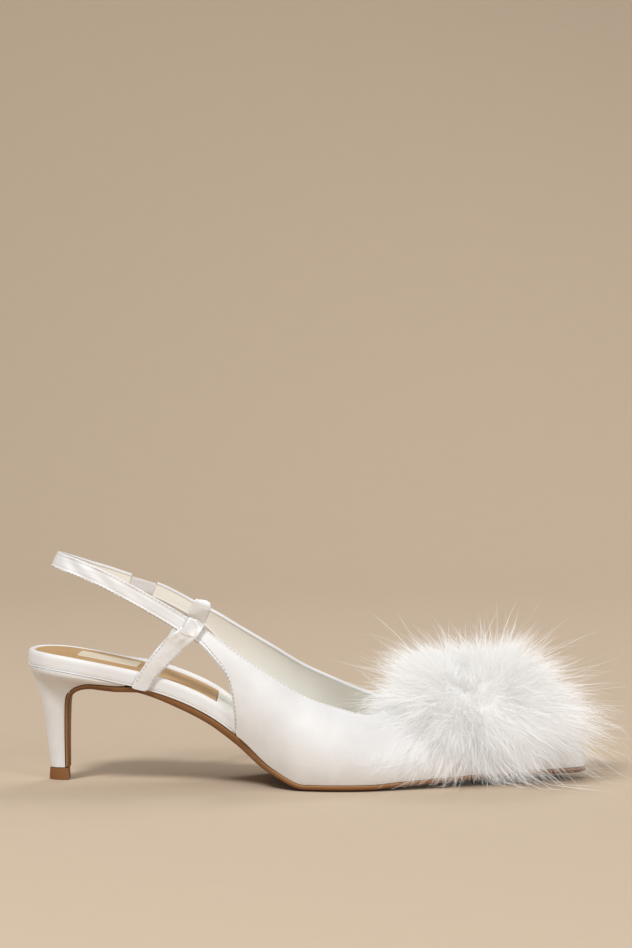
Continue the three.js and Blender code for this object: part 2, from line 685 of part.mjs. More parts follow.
// The outsole: under the toe, ball and waist, then curving down the heel's front as a thin tongue.
function outsole() {
  const rings = [];
  const across = [-1, -0.93, -0.72, -0.42, 0, 0.42, 0.72, 0.93, 1];
  const section = (x, z, down, left, right, edge, crown) => {
    const middle = (left + right) / 2;
    const half = (right - left) / 2;
    const top = across.map((a) => new THREE.Vector3(x, middle + a * half, z));
    // The tread is flat in the middle and rises in a rounded bevel to the edge.
    const bottom = across.map((a) => {
      const rise = smoothstep(Math.abs(a), 0.42, 1.15) * 1.35;
      const thick = lerp(edge + crown, edge, Math.min(rise, 1));
      return new THREE.Vector3(x, middle + a * half, z).addScaledVector(down, thick);
    });
    return [...top, ...bottom.reverse()];
  };
  // From the toe's tip back to where the heel begins.
  const heelStart = heelReach + soleBend;
  const startIndex = indexAt(heelStart);
  const steps = 42;
  for (let k = 0; k <= steps; k++) {
    const index = lerp(lastIndex, startIndex, k / steps);
    const at = lastAt(index);
    const { up } = bedFrame(at.x);
    const waist = 1 - smoothstep(at.x, xAt(wingRows[0].low), xAt(0.48));
    const grow = lerp(soleOverhang, -bedInset - waistInset, waist);
    const half = Math.max(at.half + grow * smoothstep(at.half, 0, 4), 0);
    const thinned = lerp(heelEdge, waistEdge, smoothstep(at.x, heelStart, xAt(0.3)));
    const edge = lerp(soleEdge, thinned, waist);
    const crown = (soleThickness - soleEdge) * smoothstep(half, 0, 4 * soleEdge);
    const tipX = at.x + soleOverhang * smoothstep(at.x, xAt(0.98), xAt(1));
    const down = up.clone().negate();
    const from = new THREE.Vector3(tipX, 0, at.edgeZ).addScaledVector(down, seamGap);
    rings.push(section(from.x, from.z, down, at.middle - half, at.middle + half, edge, crown));
  }
  // Down the heel's front: the curve through the heel sections' front edges.
  const frontCurve = new THREE.CatmullRomCurve3(
    heelRows.slice(1).map((row) => onHeel(row.front, row.frontUp).setY(row.half * heelReach)),
  );
  const flapSteps = 18;
  for (let k = 0; k <= flapSteps; k++) {
    const t = k / flapSteps;
    const at = frontCurve.getPoint(t);
    const along = frontCurve.getTangent(t);
    const out = new THREE.Vector3(-along.z, 0, along.x).normalize();
    const half = at.y * 0.95;
    const edge = lerp(heelEdge, flapThickness, Math.min(3 * t, 1));
    const crown = lerp(soleThickness - soleEdge, 0, Math.min(2.5 * t, 1));
    const from = new THREE.Vector3(at.x, 0, at.z).addScaledVector(out, 1.5 * seamGap);
    const middle = columnAt(heelRows, "middle", 1 + t * (heelRows.length - 2)) * heelReach;
    rings.push(section(from.x, from.z, out, middle - half, middle + half, edge, crown));
  }
  const whole = solid(loft(rings));
  // The tongue ends on the top piece.
  const reach = lastLength;
  const box = new THREE.BoxGeometry(reach, reach, reach);
  box.translate(0, 0, topPieceHeight + seamGap - reach / 2);
  const under = solid([...box.toNonIndexed().attributes.position.array]);
  const ahead = new THREE.BoxGeometry(reach, reach, reach);
  ahead.translate(reach / 2 + heelReach / 2, 0, 0);
  const tread = solid([...ahead.toNonIndexed().attributes.position.array]);
  return whole.subtract(under.subtract(tread));
}

// A side stay: a strap from the footbed's side up to the heel strap, ending in a loop round it.
function stay(side) {
  const { centre: crossing, along, out } = slingFrame(side === OUTER ? 0 : slingRows.length - 1);
  const forward = along.clone().multiplyScalar(side);
  const footX = side === OUTER ? outerStayAt : innerStayAt;
  const foot = lastAt(indexAt(footX));
  const offset = foot.half - bedInset + 1.5 * seamGap + stayThickness / 2;
  const start = new THREE.Vector3(footX, foot.middle + side * offset, foot.edgeZ);
  const up = crossing.clone().addScaledVector(forward, loopLength / 4).sub(start);
  const lift = new THREE.Vector3(-up.z, 0, up.x).normalize();
  const footwise = new THREE.Vector3(1, 0, (edgeZAt(footX + 1) - edgeZAt(footX - 1)) / 2);
  const sideways = new THREE.Vector3(0, side, 0);
  const loopHalf = (slingWidth / 2 + seamGap + loopWall) / up.length();
  const rings = [];
  const ringAt = (t, width, thickness, bow) => {
    const centre = start.clone().addScaledVector(up, t).addScaledVector(lift, bow);
    const outward = sideways.clone().lerp(out, smoothstep(t, 0, 0.6)).normalize();
    const wide = footwise.clone().lerp(forward, smoothstep(t, 0, 0.7));
    wide.addScaledVector(outward, -wide.dot(outward)).normalize();
    const corner = (a, b) => {
      const p = centre.clone().addScaledVector(wide, (a * width) / 2);
      return p.addScaledVector(outward, (b * thickness) / 2);
    };
    const across = [-1, -0.5, 0.5, 1];
    rings.push([...across.map((a) => corner(a, 1)), ...across.reverse().map((a) => corner(a, -1))]);
  };
  const bandSteps = 10;
  for (let k = 0; k <= bandSteps; k++) {
    const t = (k / bandSteps) * (1 - 1.25 * loopHalf);
    const row = (k / bandSteps) * (stayRows.length - 1);
    const width = columnAt(stayRows, "width", row) * stayWidth;
    ringAt(t, width, stayThickness, columnAt(stayRows, "bow", row) * stayBow);
  }
  const loopThickness = upperWall + 2 * seamGap + 2 * loopWall;
  ringAt(1 - loopHalf, loopLength, loopThickness, 0);
  ringAt(1 + loopHalf, loopLength, loopThickness, 0);
  const strap = solid(loft(rings));
  // The way through the loop is the upper itself, swollen by the clearance.
  const end = slingRows.length - 1;
  const sling = side === OUTER ? slingStations(0, 3, 8) : slingStations(end, end - 3, 8);
  const passing = [...quarterStations(side).slice(-9), ...sling];
  return strap.subtract(wallSolid(passing, 4, upperWall, seamGap));
}

// A solid that fills the vamp and stands a clearance proud of it, to seat the pompom on.
function vampBlock() {
  const rings = [];
  const steps = 26;
  const throatIndex = indexAt(xAt(throatAt - 0.07));
  for (let k = 0; k <= steps; k++) {
    const index = lerp(throatIndex, lastIndex, Math.sin((k / steps) * (Math.PI / 2)));
    const ring = [];
    for (const side of [OUTER, INNER]) {
      const line = [];
      for (let j = 0; j <= 8; j++) line.push(vampStation(index, side)(j / 8, -seamGap));
      ring.push(...(side === OUTER ? line : line.reverse().slice(1)));
    }
    const floor = ring.map((p) => new THREE.Vector3(p.x, p.y, -1));
    rings.push([...ring, ...floor.reverse()]);
  }
  return solid(loft(rings));
}

// The pompom: a soft ball of down that droops over the vamp, drawn out into locks all over.
function pompom() {
  const seat = onLast(indexAt(pompomAt), Math.PI / 2, OUTER, 0);
  const centre = new THREE.Vector3(pompomAt, seat.y, seat.z + pompomLift);
  const half = new THREE.Vector3(pompomLength, pompomWidth, pompomHeight).divideScalar(2);
  const ball = new THREE.IcosahedronGeometry(1, lockRows).attributes.position;
  const positions = [];
  const put = (a, b, c) => positions.push(a.x, a.y, a.z, b.x, b.y, b.z, c.x, c.y, c.z);
  const sunk = (way) => {
    const lump = 1 + 0.05 * Math.sin(5 * way.x + 1) * Math.sin(4 * way.z) + 0.04 * Math.cos(6 * way.y);
    return way.clone().multiply(half).multiplyScalar(lump).addScaledVector(way, -lockLength / 2);
  };
  for (let k = 0; k < ball.count; k += 3) {
    const [a, b, c] = [k, k + 1, k + 2].map((at) => new THREE.Vector3().fromBufferAttribute(ball, at));
    const way = a.clone().add(b).add(c).normalize();
    // A lock stands on each facet: its tip leans downwards with its weight, and its length varies.
    const droop = new THREE.Vector3(0.25 * way.x, 0.25 * way.y, -0.3 * (1 - Math.abs(way.z)));
    const length = lockLength * (1 + 0.45 * Math.sin(2.3 * k));
    const tip = sunk(way).addScaledVector(way.clone().add(droop).normalize(), length);
    const [p, q, r] = [a, b, c].map(sunk);
    for (const [from, to] of [[p, q], [q, r], [r, p]])
      put(from.clone().add(centre), to.clone().add(centre), tip.clone().add(centre));
  }
  const below = new THREE.BoxGeometry(2 * lastLength, 2 * lastLength, 2 * lastLength);
  below.translate(0, 0, ballUp - lastLength);
  const floor = solid([...below.toNonIndexed().attributes.position.array]);
  const pieces = solid(positions).subtract(floor).subtract(vampBlock()).decompose();
  return pieces.sort((one, other) => other.volume() - one.volume())[0];
}

const satin = new THREE.MeshStandardMaterial({ color: 0xefecea, roughness: 0.45 });
const satinStrap = new THREE.MeshStandardMaterial({ color: 0xf0eeeb, roughness: 0.45 });
const tanLeather = new THREE.MeshStandardMaterial({ color: 0x8a5a33, roughness: 0.5 });
const tanSock = new THREE.MeshStandardMaterial({ color: 0xc9a878, roughness: 0.6 });
const creamLining = new THREE.MeshStandardMaterial({ color: 0xe2dccb, roughness: 0.7 });
const feather = new THREE.MeshStandardMaterial({ color: 0xf4f2f1, roughness: 0.9 });
const rubber = new THREE.MeshStandardMaterial({ color: 0x85562f, roughness: 0.6 });

const shoe = new THREE.Group();
function add(name, made, material) {
  const mesh = new THREE.Mesh(geometryOf(made), material);
  mesh.name = name;
  shoe.add(mesh);
}

const { heelSock, foreSock } = socks();
add("upper", upper(), satin);
add("outsole", outsole(), tanLeather);
add("footbed", footbed(), satin);
add("heel", heel(), satin);
add("top_piece", topPiece(), rubber);
add("heel_sock", heelSock, tanSock);
add("fore_sock", foreSock, creamLining);
add("elastic_insert", elasticInsert(), satinStrap);
add("stay_outer", stay(OUTER), satinStrap);
add("stay_inner", stay(INNER), satinStrap);
add("pompom", pompom(), feather);

export default shoe;
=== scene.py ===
from math import pi, radians
import bmesh
import bpy
import numpy as np
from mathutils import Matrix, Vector


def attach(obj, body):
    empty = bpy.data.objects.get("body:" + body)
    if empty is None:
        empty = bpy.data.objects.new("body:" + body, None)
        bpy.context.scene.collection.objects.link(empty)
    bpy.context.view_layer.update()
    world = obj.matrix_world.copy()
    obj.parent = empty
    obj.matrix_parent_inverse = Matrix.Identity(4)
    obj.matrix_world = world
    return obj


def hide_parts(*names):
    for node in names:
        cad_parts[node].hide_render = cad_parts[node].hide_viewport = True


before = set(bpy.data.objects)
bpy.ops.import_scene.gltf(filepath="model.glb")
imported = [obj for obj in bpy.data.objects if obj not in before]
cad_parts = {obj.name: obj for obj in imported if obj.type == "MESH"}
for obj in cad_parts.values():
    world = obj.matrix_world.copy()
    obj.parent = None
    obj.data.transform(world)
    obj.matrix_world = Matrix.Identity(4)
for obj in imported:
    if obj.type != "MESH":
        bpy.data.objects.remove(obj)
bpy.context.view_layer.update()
print("frame loaded:", len(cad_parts), "nodes")

millimetre = 0.001  # tables and shapes below are in millimetres, meshes in metres
outerSide, innerSide = -1, 1  # the little toe's side is towards -Y

# numbers in tables


def asTable(names, rows):
    columns = np.array(rows, float).T
    return dict(zip(names.split(), columns))


def cubic(t, start, end, startSlope, endSlope):
    return (
        (2 * t**3 - 3 * t**2 + 1) * start
        + (t**3 - 2 * t**2 + t) * startSlope
        + (3 * t**2 - 2 * t**3) * end
        + (t**3 - t**2) * endSlope
    )


def columnAt(table, name, index, mirrored=False, monotone=True):
    # a cubic through a table's column; at the ends a half width changes sign, the rest mirrors
    value = table[name]
    sign = -1 if mirrored else 1
    padded = np.concatenate(([sign * value[1]], value, [sign * value[-2]]))
    before, after = np.diff(padded)[:-1], np.diff(padded)[1:]
    if monotone:
        bend = before * after
        slope = np.where(bend > 0, 2 * bend / np.where(bend > 0, before + after, 1), 0)
    else:
        slope = (before + after) / 2
    index = np.asarray(index, float)
    k = np.clip(np.floor(index), 0, len(value) - 2).astype(int)
    t = np.clip(index - k, 0, 1)
    return cubic(t, value[k], value[k + 1], slope[k], slope[k + 1])


def smoothStep(x, low, high):
    t = np.clip((np.asarray(x, float) - low) / (high - low), 0, 1)
    return t * t * (3 - 2 * t)


def mix(a, b, t):
    return a + (b - a) * t


def unit(v):
    return v / np.maximum(np.linalg.norm(v, axis=-1, keepdims=True), 1e-9)


# the last

last = {
    "length": 251.6,
    "seatBack": 15.8,
    "ballWidth": 76,
    "seatRise": 49.4,
    "toeSpring": 2.6,
    "throatHeight": 29.5,
    "throatAt": 0.669,
    "throatCurve": 19,
    "ballUp": 3.0,
    "wall": 1.5,
    "gap": 0.3,
}
lastRows = asTable(
    "along middle half rise spring ridge ridgeY outerTuck innerTuck outerEdge innerEdge",
    [
        (0, 0.007, 0, 1, 0, 2.1, 0, 12, 30, 1.6, 1.6),
        (0.008, 0.007, 0.129, 0.998, 0, 2.1, 0, 12, 30, 1.6, 1.6),
        (0.029, 0.005, 0.234, 0.992, 0, 2.1, 0, 12, 30, 1.6, 1.6),
        (0.063, 0.003, 0.308, 0.974, 0, 2.1, 0, 12, 30, 1.6, 1.6),
        (0.11, -0.005, 0.337, 0.935, 0, 2.1, 0, 12, 30, 1.6, 1.6),
        (0.166, -0.016, 0.338, 0.879, 0, 2.1, 0.01, 12, 30, 1.56, 1.56),
        (0.222, -0.029, 0.328, 0.814, 0, 2.1, 0.02, 12, 32, 1.434, 1.505),
        (0.277, -0.045, 0.321, 0.723, 0, 2.03, 0.026, 12, 36, 1.305, 1.434),
        (0.333, -0.063, 0.324, 0.587, 0, 1.97, 0.026, 16, 40, 1.247, 1.444),
        (0.389, -0.082, 0.337, 0.385, 0, 1.95, 0.03, 25, 40, 1.25, 1.505),
        (0.444, -0.092, 0.374, 0.134, 0, 1.98, 0.04, 27, 38, 1.366, 1.654),
        (0.5, -0.084, 0.434, 0, 0, 1.85, 0.062, 23, 33, 1.305, 1.583),
        (0.556, -0.061, 0.482, 0, 0, 1.54, 0.072, 18, 28, 1.13, 1.357),
        (0.611, -0.032, 0.495, 0, 0, 1.25, 0.066, 16, 24, 0.99, 1.166),
        (0.667, -0.005, 0.463, 0, 0.27, 1.01, 0.059, 16, 21, 0.92, 1.0),
        (0.723, 0.012, 0.411, 0, 0.5, 0.85, 0.053, 17, 20, 0.9, 0.9),
        (0.778, 0.022, 0.347, 0, 0.69, 0.72, 0.046, 18, 19, 0.9, 0.9),
        (0.834, 0.028, 0.279, 0, 0.85, 0.605, 0.04, 18, 18, 0.9, 0.9),
        (0.889, 0.032, 0.211, 0, 0.96, 0.5, 0.036, 18, 18, 0.9, 0.9),
        (0.939, 0.033, 0.145, 0, 1, 0.405, 0.033, 18, 18, 0.9, 0.9),
        (0.975, 0.033, 0.09, 0, 1, 0.32, 0.033, 18, 18, 0.9, 0.9),
        (0.9936, 0.033, 0.047, 0, 1, 0.24, 0.033, 18, 18, 0.9, 0.9),
        (1, 0.033, 0, 0, 1, 0.17, 0.033, 18, 18, 0.9, 0.9),
    ],
)
lastIndex = len(lastRows["along"]) - 1
soleRows = lastRows["rise"] * last["seatRise"] + lastRows["spring"] * last["toeSpring"]
lastRows["outerTop"] = soleRows + lastRows["outerEdge"] * last["throatHeight"]
lastRows["innerTop"] = soleRows + lastRows["innerEdge"] * last["throatHeight"]
indexSteps = np.linspace(0, lastIndex, 8801)
placeSteps = columnAt(lastRows, "along", indexSteps) * last["length"] - last["seatBack"]


def placeAt(share):
    return share * last["length"] - last["seatBack"]


def indexAt(x):
    return np.interp(x, placeSteps, indexSteps)


throatX = placeAt(last["throatAt"])


def lastAt(index, side=outerSide):
    column = lambda name, *how: columnAt(lastRows, name, index, *how)
    sideName = "outer" if side == outerSide else "inner"
    sole = column("rise") * last["seatRise"] + column("spring") * last["toeSpring"]
    return {
        "x": column("along") * last["length"] - last["seatBack"],
        "middle": column("middle") * last["ballWidth"],
        "half": column("half", True, False) * last["ballWidth"],
        "edgeZ": last["ballUp"] + sole,
        "ridge": column("ridge", False, False) * last["throatHeight"],
        "ridgeY": column("ridgeY", False, False) * last["ballWidth"],
        "tuck": np.radians(column(sideName + "Tuck")),
        "edge": column(sideName + "Top", False, False) - sole,
    }


def edgeZAt(x):
    return lastAt(indexAt(x))["edgeZ"]


def onLast(index, phi, side, depth):
    # a point of the upper's outer face, sunk by depth; phi is minus the tuck at the sole, pi/2 on the ridge
    at = lastAt(index, side)
    reach = (at["middle"] + side * at["half"] - at["ridgeY"]) / np.cos(at["tuck"])
    width = reach - side * np.minimum(depth, np.abs(reach))
    share = 1 - (1 - np.sin(phi)) / (1 + np.sin(at["tuck"]))
    tip = smoothStep(at["x"], placeAt(1) - 4 * last["wall"], placeAt(1))
    height = np.maximum(at["ridge"] - depth * (1 - 0.5 * tip), 0)
    return np.stack(
        np.broadcast_arrays(
            at["x"] - depth * tip,
            at["ridgeY"] + width * np.cos(phi),
            at["edgeZ"] + height * share,
        ),
        axis=-1,
    )


def phiAt(index, side, height):
    at = lastAt(index, side)
    sinTuck = np.sin(at["tuck"])
    return np.arcsin(np.clip(height / at["ridge"] * (1 + sinTuck) - sinTuck, -1, 1))


def openingPhi(index, side):
    at = lastAt(index, side)
    share = np.clip((at["x"] - (throatX - last["throatCurve"])) / last["throatCurve"], 0, 1)
    climb = 1 - np.sqrt(1 - share * share)
    return mix(phiAt(index, side, at["edge"]), pi / 2, climb)


def smoothRows(grid, spacing, like=None):
    # a cubic through rows of points, laid out again at an even spacing, or at that of another grid
    chord = np.linalg.norm(np.diff(grid if like is None else like, axis=0), axis=2).mean(axis=1)
    at = np.concatenate(([0], np.cumsum(chord)))
    wide = chord[:, None, None]
    rate = np.diff(grid, axis=0) / wide
    slope = np.empty_like(grid)
    slope[1:-1] = (rate[:-1] * wide[1:] + rate[1:] * wide[:-1]) / (wide[:-1] + wide[1:])
    slope[0], slope[-1] = rate[0], rate[-1]
    wanted = np.linspace(0, at[-1], max(int(at[-1] / spacing), 2) + 1)
    k = np.clip(np.searchsorted(at, wanted, side="right") - 1, 0, len(chord) - 1)
    t = ((wanted - at[k]) / chord[k])[:, None, None]
    return cubic(t, grid[k], grid[k + 1], wide[k] * slope[k], wide[k] * slope[k + 1])


# meshes


def gridFaces(rows, columns, closed=False, start=0):
    r, c = np.meshgrid(np.arange(rows - 1), np.arange(columns if closed else columns - 1), indexing="ij")
    r, c = r.ravel(), c.ravel()
    nextC = (c + 1) % columns
    here, beyond = r * columns, (r + 1) * columns
    return start + np.stack([here + c, here + nextC, beyond + nextC, beyond + c], 1)


def buildMesh(name, points, faces, tones=None):
    # faces is a list of arrays, each with one row of corner numbers per face
    mesh = bpy.data.meshes.new(name)
    points = np.asarray(points, float).reshape(-1, 3) * millimetre
    mesh.vertices.add(len(points))
    mesh.vertices.foreach_set("co", points.ravel())
    corners = np.concatenate([np.asarray(f).ravel() for f in faces])
    counts = np.concatenate([np.full(len(f), np.asarray(f).shape[1]) for f in faces])
    starts = np.concatenate(([0], np.cumsum(counts)[:-1]))
    mesh.loops.add(len(corners))
    mesh.loops.foreach_set("vertex_index", corners.astype(np.int32))
    mesh.polygons.add(len(counts))
    mesh.polygons.foreach_set("loop_start", starts.astype(np.int32))
    if tones is not None:
        layer = mesh.attributes.new("tone", "FLOAT", "POINT")
        layer.data.foreach_set("value", np.asarray(tones, float).ravel())
    mesh.update(calc_edges=True)
    return mesh


def addObject(name, data):
    thing = bpy.data.objects.new(name, data)
    bpy.context.scene.collection.objects.link(thing)
    return thing


def placePiece(name, mesh, material, slotName, replaced=()):
    piece = addObject(name, mesh)
    mesh.materials.append(material)
    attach(piece, "root")
    if replaced:
        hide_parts(*replaced)
    return piece


def addPiece(name, made, material, slotName, replaced=(), weld=0.0, sharpAngle=None, outward=None):
    # made is a shape or a mesh; outward is the point that the faces look away from
    mesh = made.mesh(name) if isinstance(made, Shape) else made
    work = bmesh.new()
    work.from_mesh(mesh)
    if weld:
        bmesh.ops.remove_doubles(work, verts=work.verts, dist=weld * millimetre)
    if outward is None:
        bmesh.ops.recalc_face_normals(work, faces=work.faces)
    else:
        work.normal_update()
        centre = Vector([v * millimetre for v in outward])
        facing = sum(f.normal.dot(f.calc_center_median() - centre) * f.calc_area() for f in work.faces)
        if facing < 0:
            bmesh.ops.reverse_faces(work, faces=work.faces)
    work.to_mesh(mesh)
    work.free()
    mesh.shade_smooth()
    if sharpAngle:
        mesh.set_sharp_from_angle(angle=radians(sharpAngle))
    return placePiece(name, mesh, material, slotName, replaced)


class Shape:
    # points and faces gathered from several grids, for one mesh
    def __init__(self):
        self.points, self.faces, self.tones, self.count = [], [], [], 0

    def addGrid(self, grid, closed=False, tone=0.0):
        rows, columns = grid.shape[:2]
        self.faces.append(gridFaces(rows, columns, closed, self.count))
        self.addPoints(grid.reshape(-1, 3), tone)

    def addPoints(self, points, tone=0.0):
        self.points.append(points)
        self.tones.append(np.broadcast_to(np.asarray(tone, float).ravel(), len(points)))
        self.count += len(points)

    def addCap(self, ring):
        # a fan over a closed ring
        count = len(ring)
        k = np.arange(count)
        self.faces.append(self.count + np.stack([np.full(count, count), k, (k + 1) % count], 1))
        self.addPoints(np.vstack([ring, ring.mean(axis=0)]))

    def addBody(self, grid, ends=(0, -1), tone=0.0):
        # a closed grid with caps on its ends
        self.addGrid(grid, True, tone)
        for end in ends:
            self.addCap(grid[end])

    def mesh(self, name):
        quads = [f for f in self.faces if f.shape[1] == 4]
        triangles = [f for f in self.faces if f.shape[1] == 3]
        return buildMesh(name, np.vstack(self.points), quads + triangles, np.concatenate(self.tones))


# materials


def addNode(tree, kind, values=(), **settings):
    node = tree.nodes.new(kind)
    for key, value in settings.items():
        setattr(node, key, value)
    for key, value in dict(values).items():
        if isinstance(value, bpy.types.NodeSocket):
            tree.links.new(value, node.inputs[key])
        else:
            node.inputs[key].default_value = value
    return node


def feed(tree, sockets, values):
    for label, value in values.items():
        tree.links.new(value, sockets[label])


def mathNode(tree, operation, first, second):
    return addNode(tree, "ShaderNodeMath", {0: first, 1: second}, operation=operation).outputs[0]


def blendColours(tree, amount, first, second):
    # each colour is a socket, or red, green and blue
    first, second = (c if isinstance(c, bpy.types.NodeSocket) else (*c, 1) for c in (first, second))
    return addNode(tree, "ShaderNodeMix", {0: amount, 6: first, 7: second}, data_type="RGBA").outputs[2]


def remap(tree, value, low, high, newLow, newHigh):
    return addNode(tree, "ShaderNodeMapRange", {0: value, 1: low, 2: high, 3: newLow, 4: newHigh}).outputs[0]


def placeNode(tree):
    return addNode(tree, "ShaderNodeTexCoord").outputs["Object"]


def toneNode(tree):
    return addNode(tree, "ShaderNodeAttribute", attribute_name="tone").outputs["Fac"]


def stretch(tree, place, scale, turn=(0, 0, 0)):
    return addNode(tree, "ShaderNodeMapping", {"Vector": place, "Rotation": turn, "Scale": scale}).outputs[0]


def noise(tree, place, scale, detail, roughness=0.5):
    values = {"Vector": place, "Scale": scale, "Detail": detail, "Roughness": roughness}
    return addNode(tree, "ShaderNodeTexNoise", values).outputs["Fac"]


def relief(tree, height, strength, distance, **more):
    values = {"Height": height, "Strength": strength, "Distance": distance, **more}
    return addNode(tree, "ShaderNodeBump", values).outputs[0]


def startGroup(name, takes, gives):
    # a group of nodes, with the usual value of each number that it takes
    tree = bpy.data.node_groups.new(name, "ShaderNodeTree")
    for label, value in takes.items():
        socket = tree.interface.new_socket(name=label, in_out="INPUT", socket_type="NodeSocketFloat")
        socket.default_value = value
    for label in gives:
        tree.interface.new_socket(name=label, in_out="OUTPUT", socket_type="NodeSocketFloat")
    return tree, tree.nodes.new("NodeGroupInput").outputs, tree.nodes.new("NodeGroupOutput").inputs


def makeThreadGroup():
    # long fine threads with slubs, and a broad unevenness of the cloth, which the satins also use for painted sheen
    usual = {"Threads": 2600.0, "Unevenness": 35.0}
    tree, taken, given = startGroup("satinThreads", usual, ("Threads", "Broad"))
    place = placeNode(tree)
    turned = stretch(tree, place, (0.12, 1, 1), (0, radians(12), radians(24)))
    threads = noise(tree, turned, taken["Threads"], 2.0)
    broad = noise(tree, place, taken["Unevenness"], 3.0, 0.45)
    feed(tree, given, {"Threads": threads, "Broad": broad})
    return tree


def makeGrainGroup():
    # pebbled leather grain with fine pores
    usual = {"Pebbles": 900.0, "Pores": 5200.0}
    tree, taken, given = startGroup("leatherGrain", usual, ("Height", "Mottle"))
    place = placeNode(tree)
    pebbles = addNode(tree, "ShaderNodeTexVoronoi", {"Vector": place, "Scale": taken["Pebbles"]}, feature="F1")
    pores = mathNode(tree, "MULTIPLY", noise(tree, place, taken["Pores"], 2.0), 0.5)
    height = mathNode(tree, "ADD", mathNode(tree, "MULTIPLY", pebbles.outputs["Distance"], 0.7), pores)
    feed(tree, given, {"Height": height, "Mottle": noise(tree, place, 60.0, 4.0, 0.6)})
    return tree


def makeScuffGroup():
    # small scuffs and dust, as a mask
    tree, taken, given = startGroup("softScuffs", {"Scale": 140.0, "Amount": 0.4}, ("Mask",))
    smears = noise(tree, stretch(tree, placeNode(tree), (0.3, 1, 1)), taken["Scale"], 6.0, 0.65)
    mask = mathNode(tree, "MULTIPLY", remap(tree, smears, 0.52, 0.74, 0.0, 1.0), taken["Amount"])
    feed(tree, given, {"Mask": mask})
    return tree


threadGroup, grainGroup, scuffGroup = makeThreadGroup(), makeGrainGroup(), makeScuffGroup()


def fillGroup(tree, group, values):
    return addNode(tree, "ShaderNodeGroup", values, node_tree=group).outputs


def startMaterial(name, values):
    material = bpy.data.materials.new(name)
    material.use_nodes = True
    tree = material.node_tree
    shader = tree.nodes["Principled BSDF"].inputs
    for label, value in values.items():
        shader[label].default_value = value
    return material, tree, shader


def makeSatin(name, light, shade, threads, bump, roughness, sheen, folds, metal):
    values = {"Metallic": metal, "Sheen Weight": sheen, "Sheen Roughness": 0.35}
    material, tree, shader = startMaterial(name, {**values, "Specular IOR Level": 0.5, "Anisotropic": 0.5})
    cloth = fillGroup(tree, threadGroup, {"Threads": threads, "Unevenness": 55.0})
    # the broad noise moves the colour between light and shade: partly the cloth's own unevenness, partly painted
    # sheen
    broad = remap(tree, cloth["Broad"], 0.36, 0.64, 0.0, 1.0)
    weave = mathNode(tree, "MULTIPLY", cloth["Threads"], 0.35)
    tone = mathNode(tree, "ADD", mathNode(tree, "MULTIPLY", broad, 0.65), weave)
    rough = remap(tree, tone, 0.0, 1.0, roughness + 0.08, roughness - 0.06)
    wide = relief(tree, broad, folds, 0.0012, Normal=relief(tree, cloth["Threads"], bump, 0.00014))
    colour = blendColours(tree, tone, shade, light)
    feed(tree, shader, {"Base Color": colour, "Roughness": rough, "Normal": wide})
    return material


def makeLeather(name, light, shade, scuffColour, pebbles, bump, roughness, scuffs, shine):
    material, tree, shader = startMaterial(name, {"Specular IOR Level": shine})
    grain = fillGroup(tree, grainGroup, {"Pebbles": pebbles, "Pores": pebbles * 5})
    spots = fillGroup(tree, scuffGroup, {"Scale": 140.0, "Amount": scuffs})
    colour = blendColours(tree, grain["Mottle"], shade, light)
    # on the sole the vertex tone brings in a lighter colour at the top of the edge and leaves the lower edge and
    # underside darker: partly the edge's finish, partly painted light and shade
    if name in edgeFinishAndLightColours:
        colour = blendColours(tree, toneNode(tree), colour, edgeFinishAndLightColours[name])
    colour = blendColours(tree, spots["Mask"], colour, scuffColour)
    rough = remap(tree, grain["Mottle"], 0.2, 0.8, roughness - 0.07, roughness + 0.08)
    pebbled = relief(tree, grain["Height"], bump, 0.0002)
    feed(tree, shader, {"Base Color": colour, "Roughness": rough, "Normal": pebbled})
    return material


def makeFeather(name, root, tip, paintedGlow):
    # painted light: the down glows faintly by itself, standing in for light that has wandered through it
    values = {"Sheen Weight": 0.2, "Sheen Roughness": 0.5, "Specular IOR Level": 0.25}
    material, tree, shader = startMaterial(name, {**values, "Emission Strength": paintedGlow})
    cloth = fillGroup(tree, threadGroup, {"Threads": 1500.0, "Unevenness": 120.0})
    shaded = mathNode(tree, "MULTIPLY", cloth["Broad"], 0.35)
    colour = blendColours(tree, shaded, blendColours(tree, toneNode(tree), root, tip), (0.90, 0.885, 0.865))
    rough = remap(tree, cloth["Threads"], 0.2, 0.8, 0.6, 0.8)
    barbs = relief(tree, cloth["Threads"], 0.15, 0.0001)
    feed(tree, shader, {"Base Color": colour, "Emission Color": colour, "Roughness": rough, "Normal": barbs})
    return material


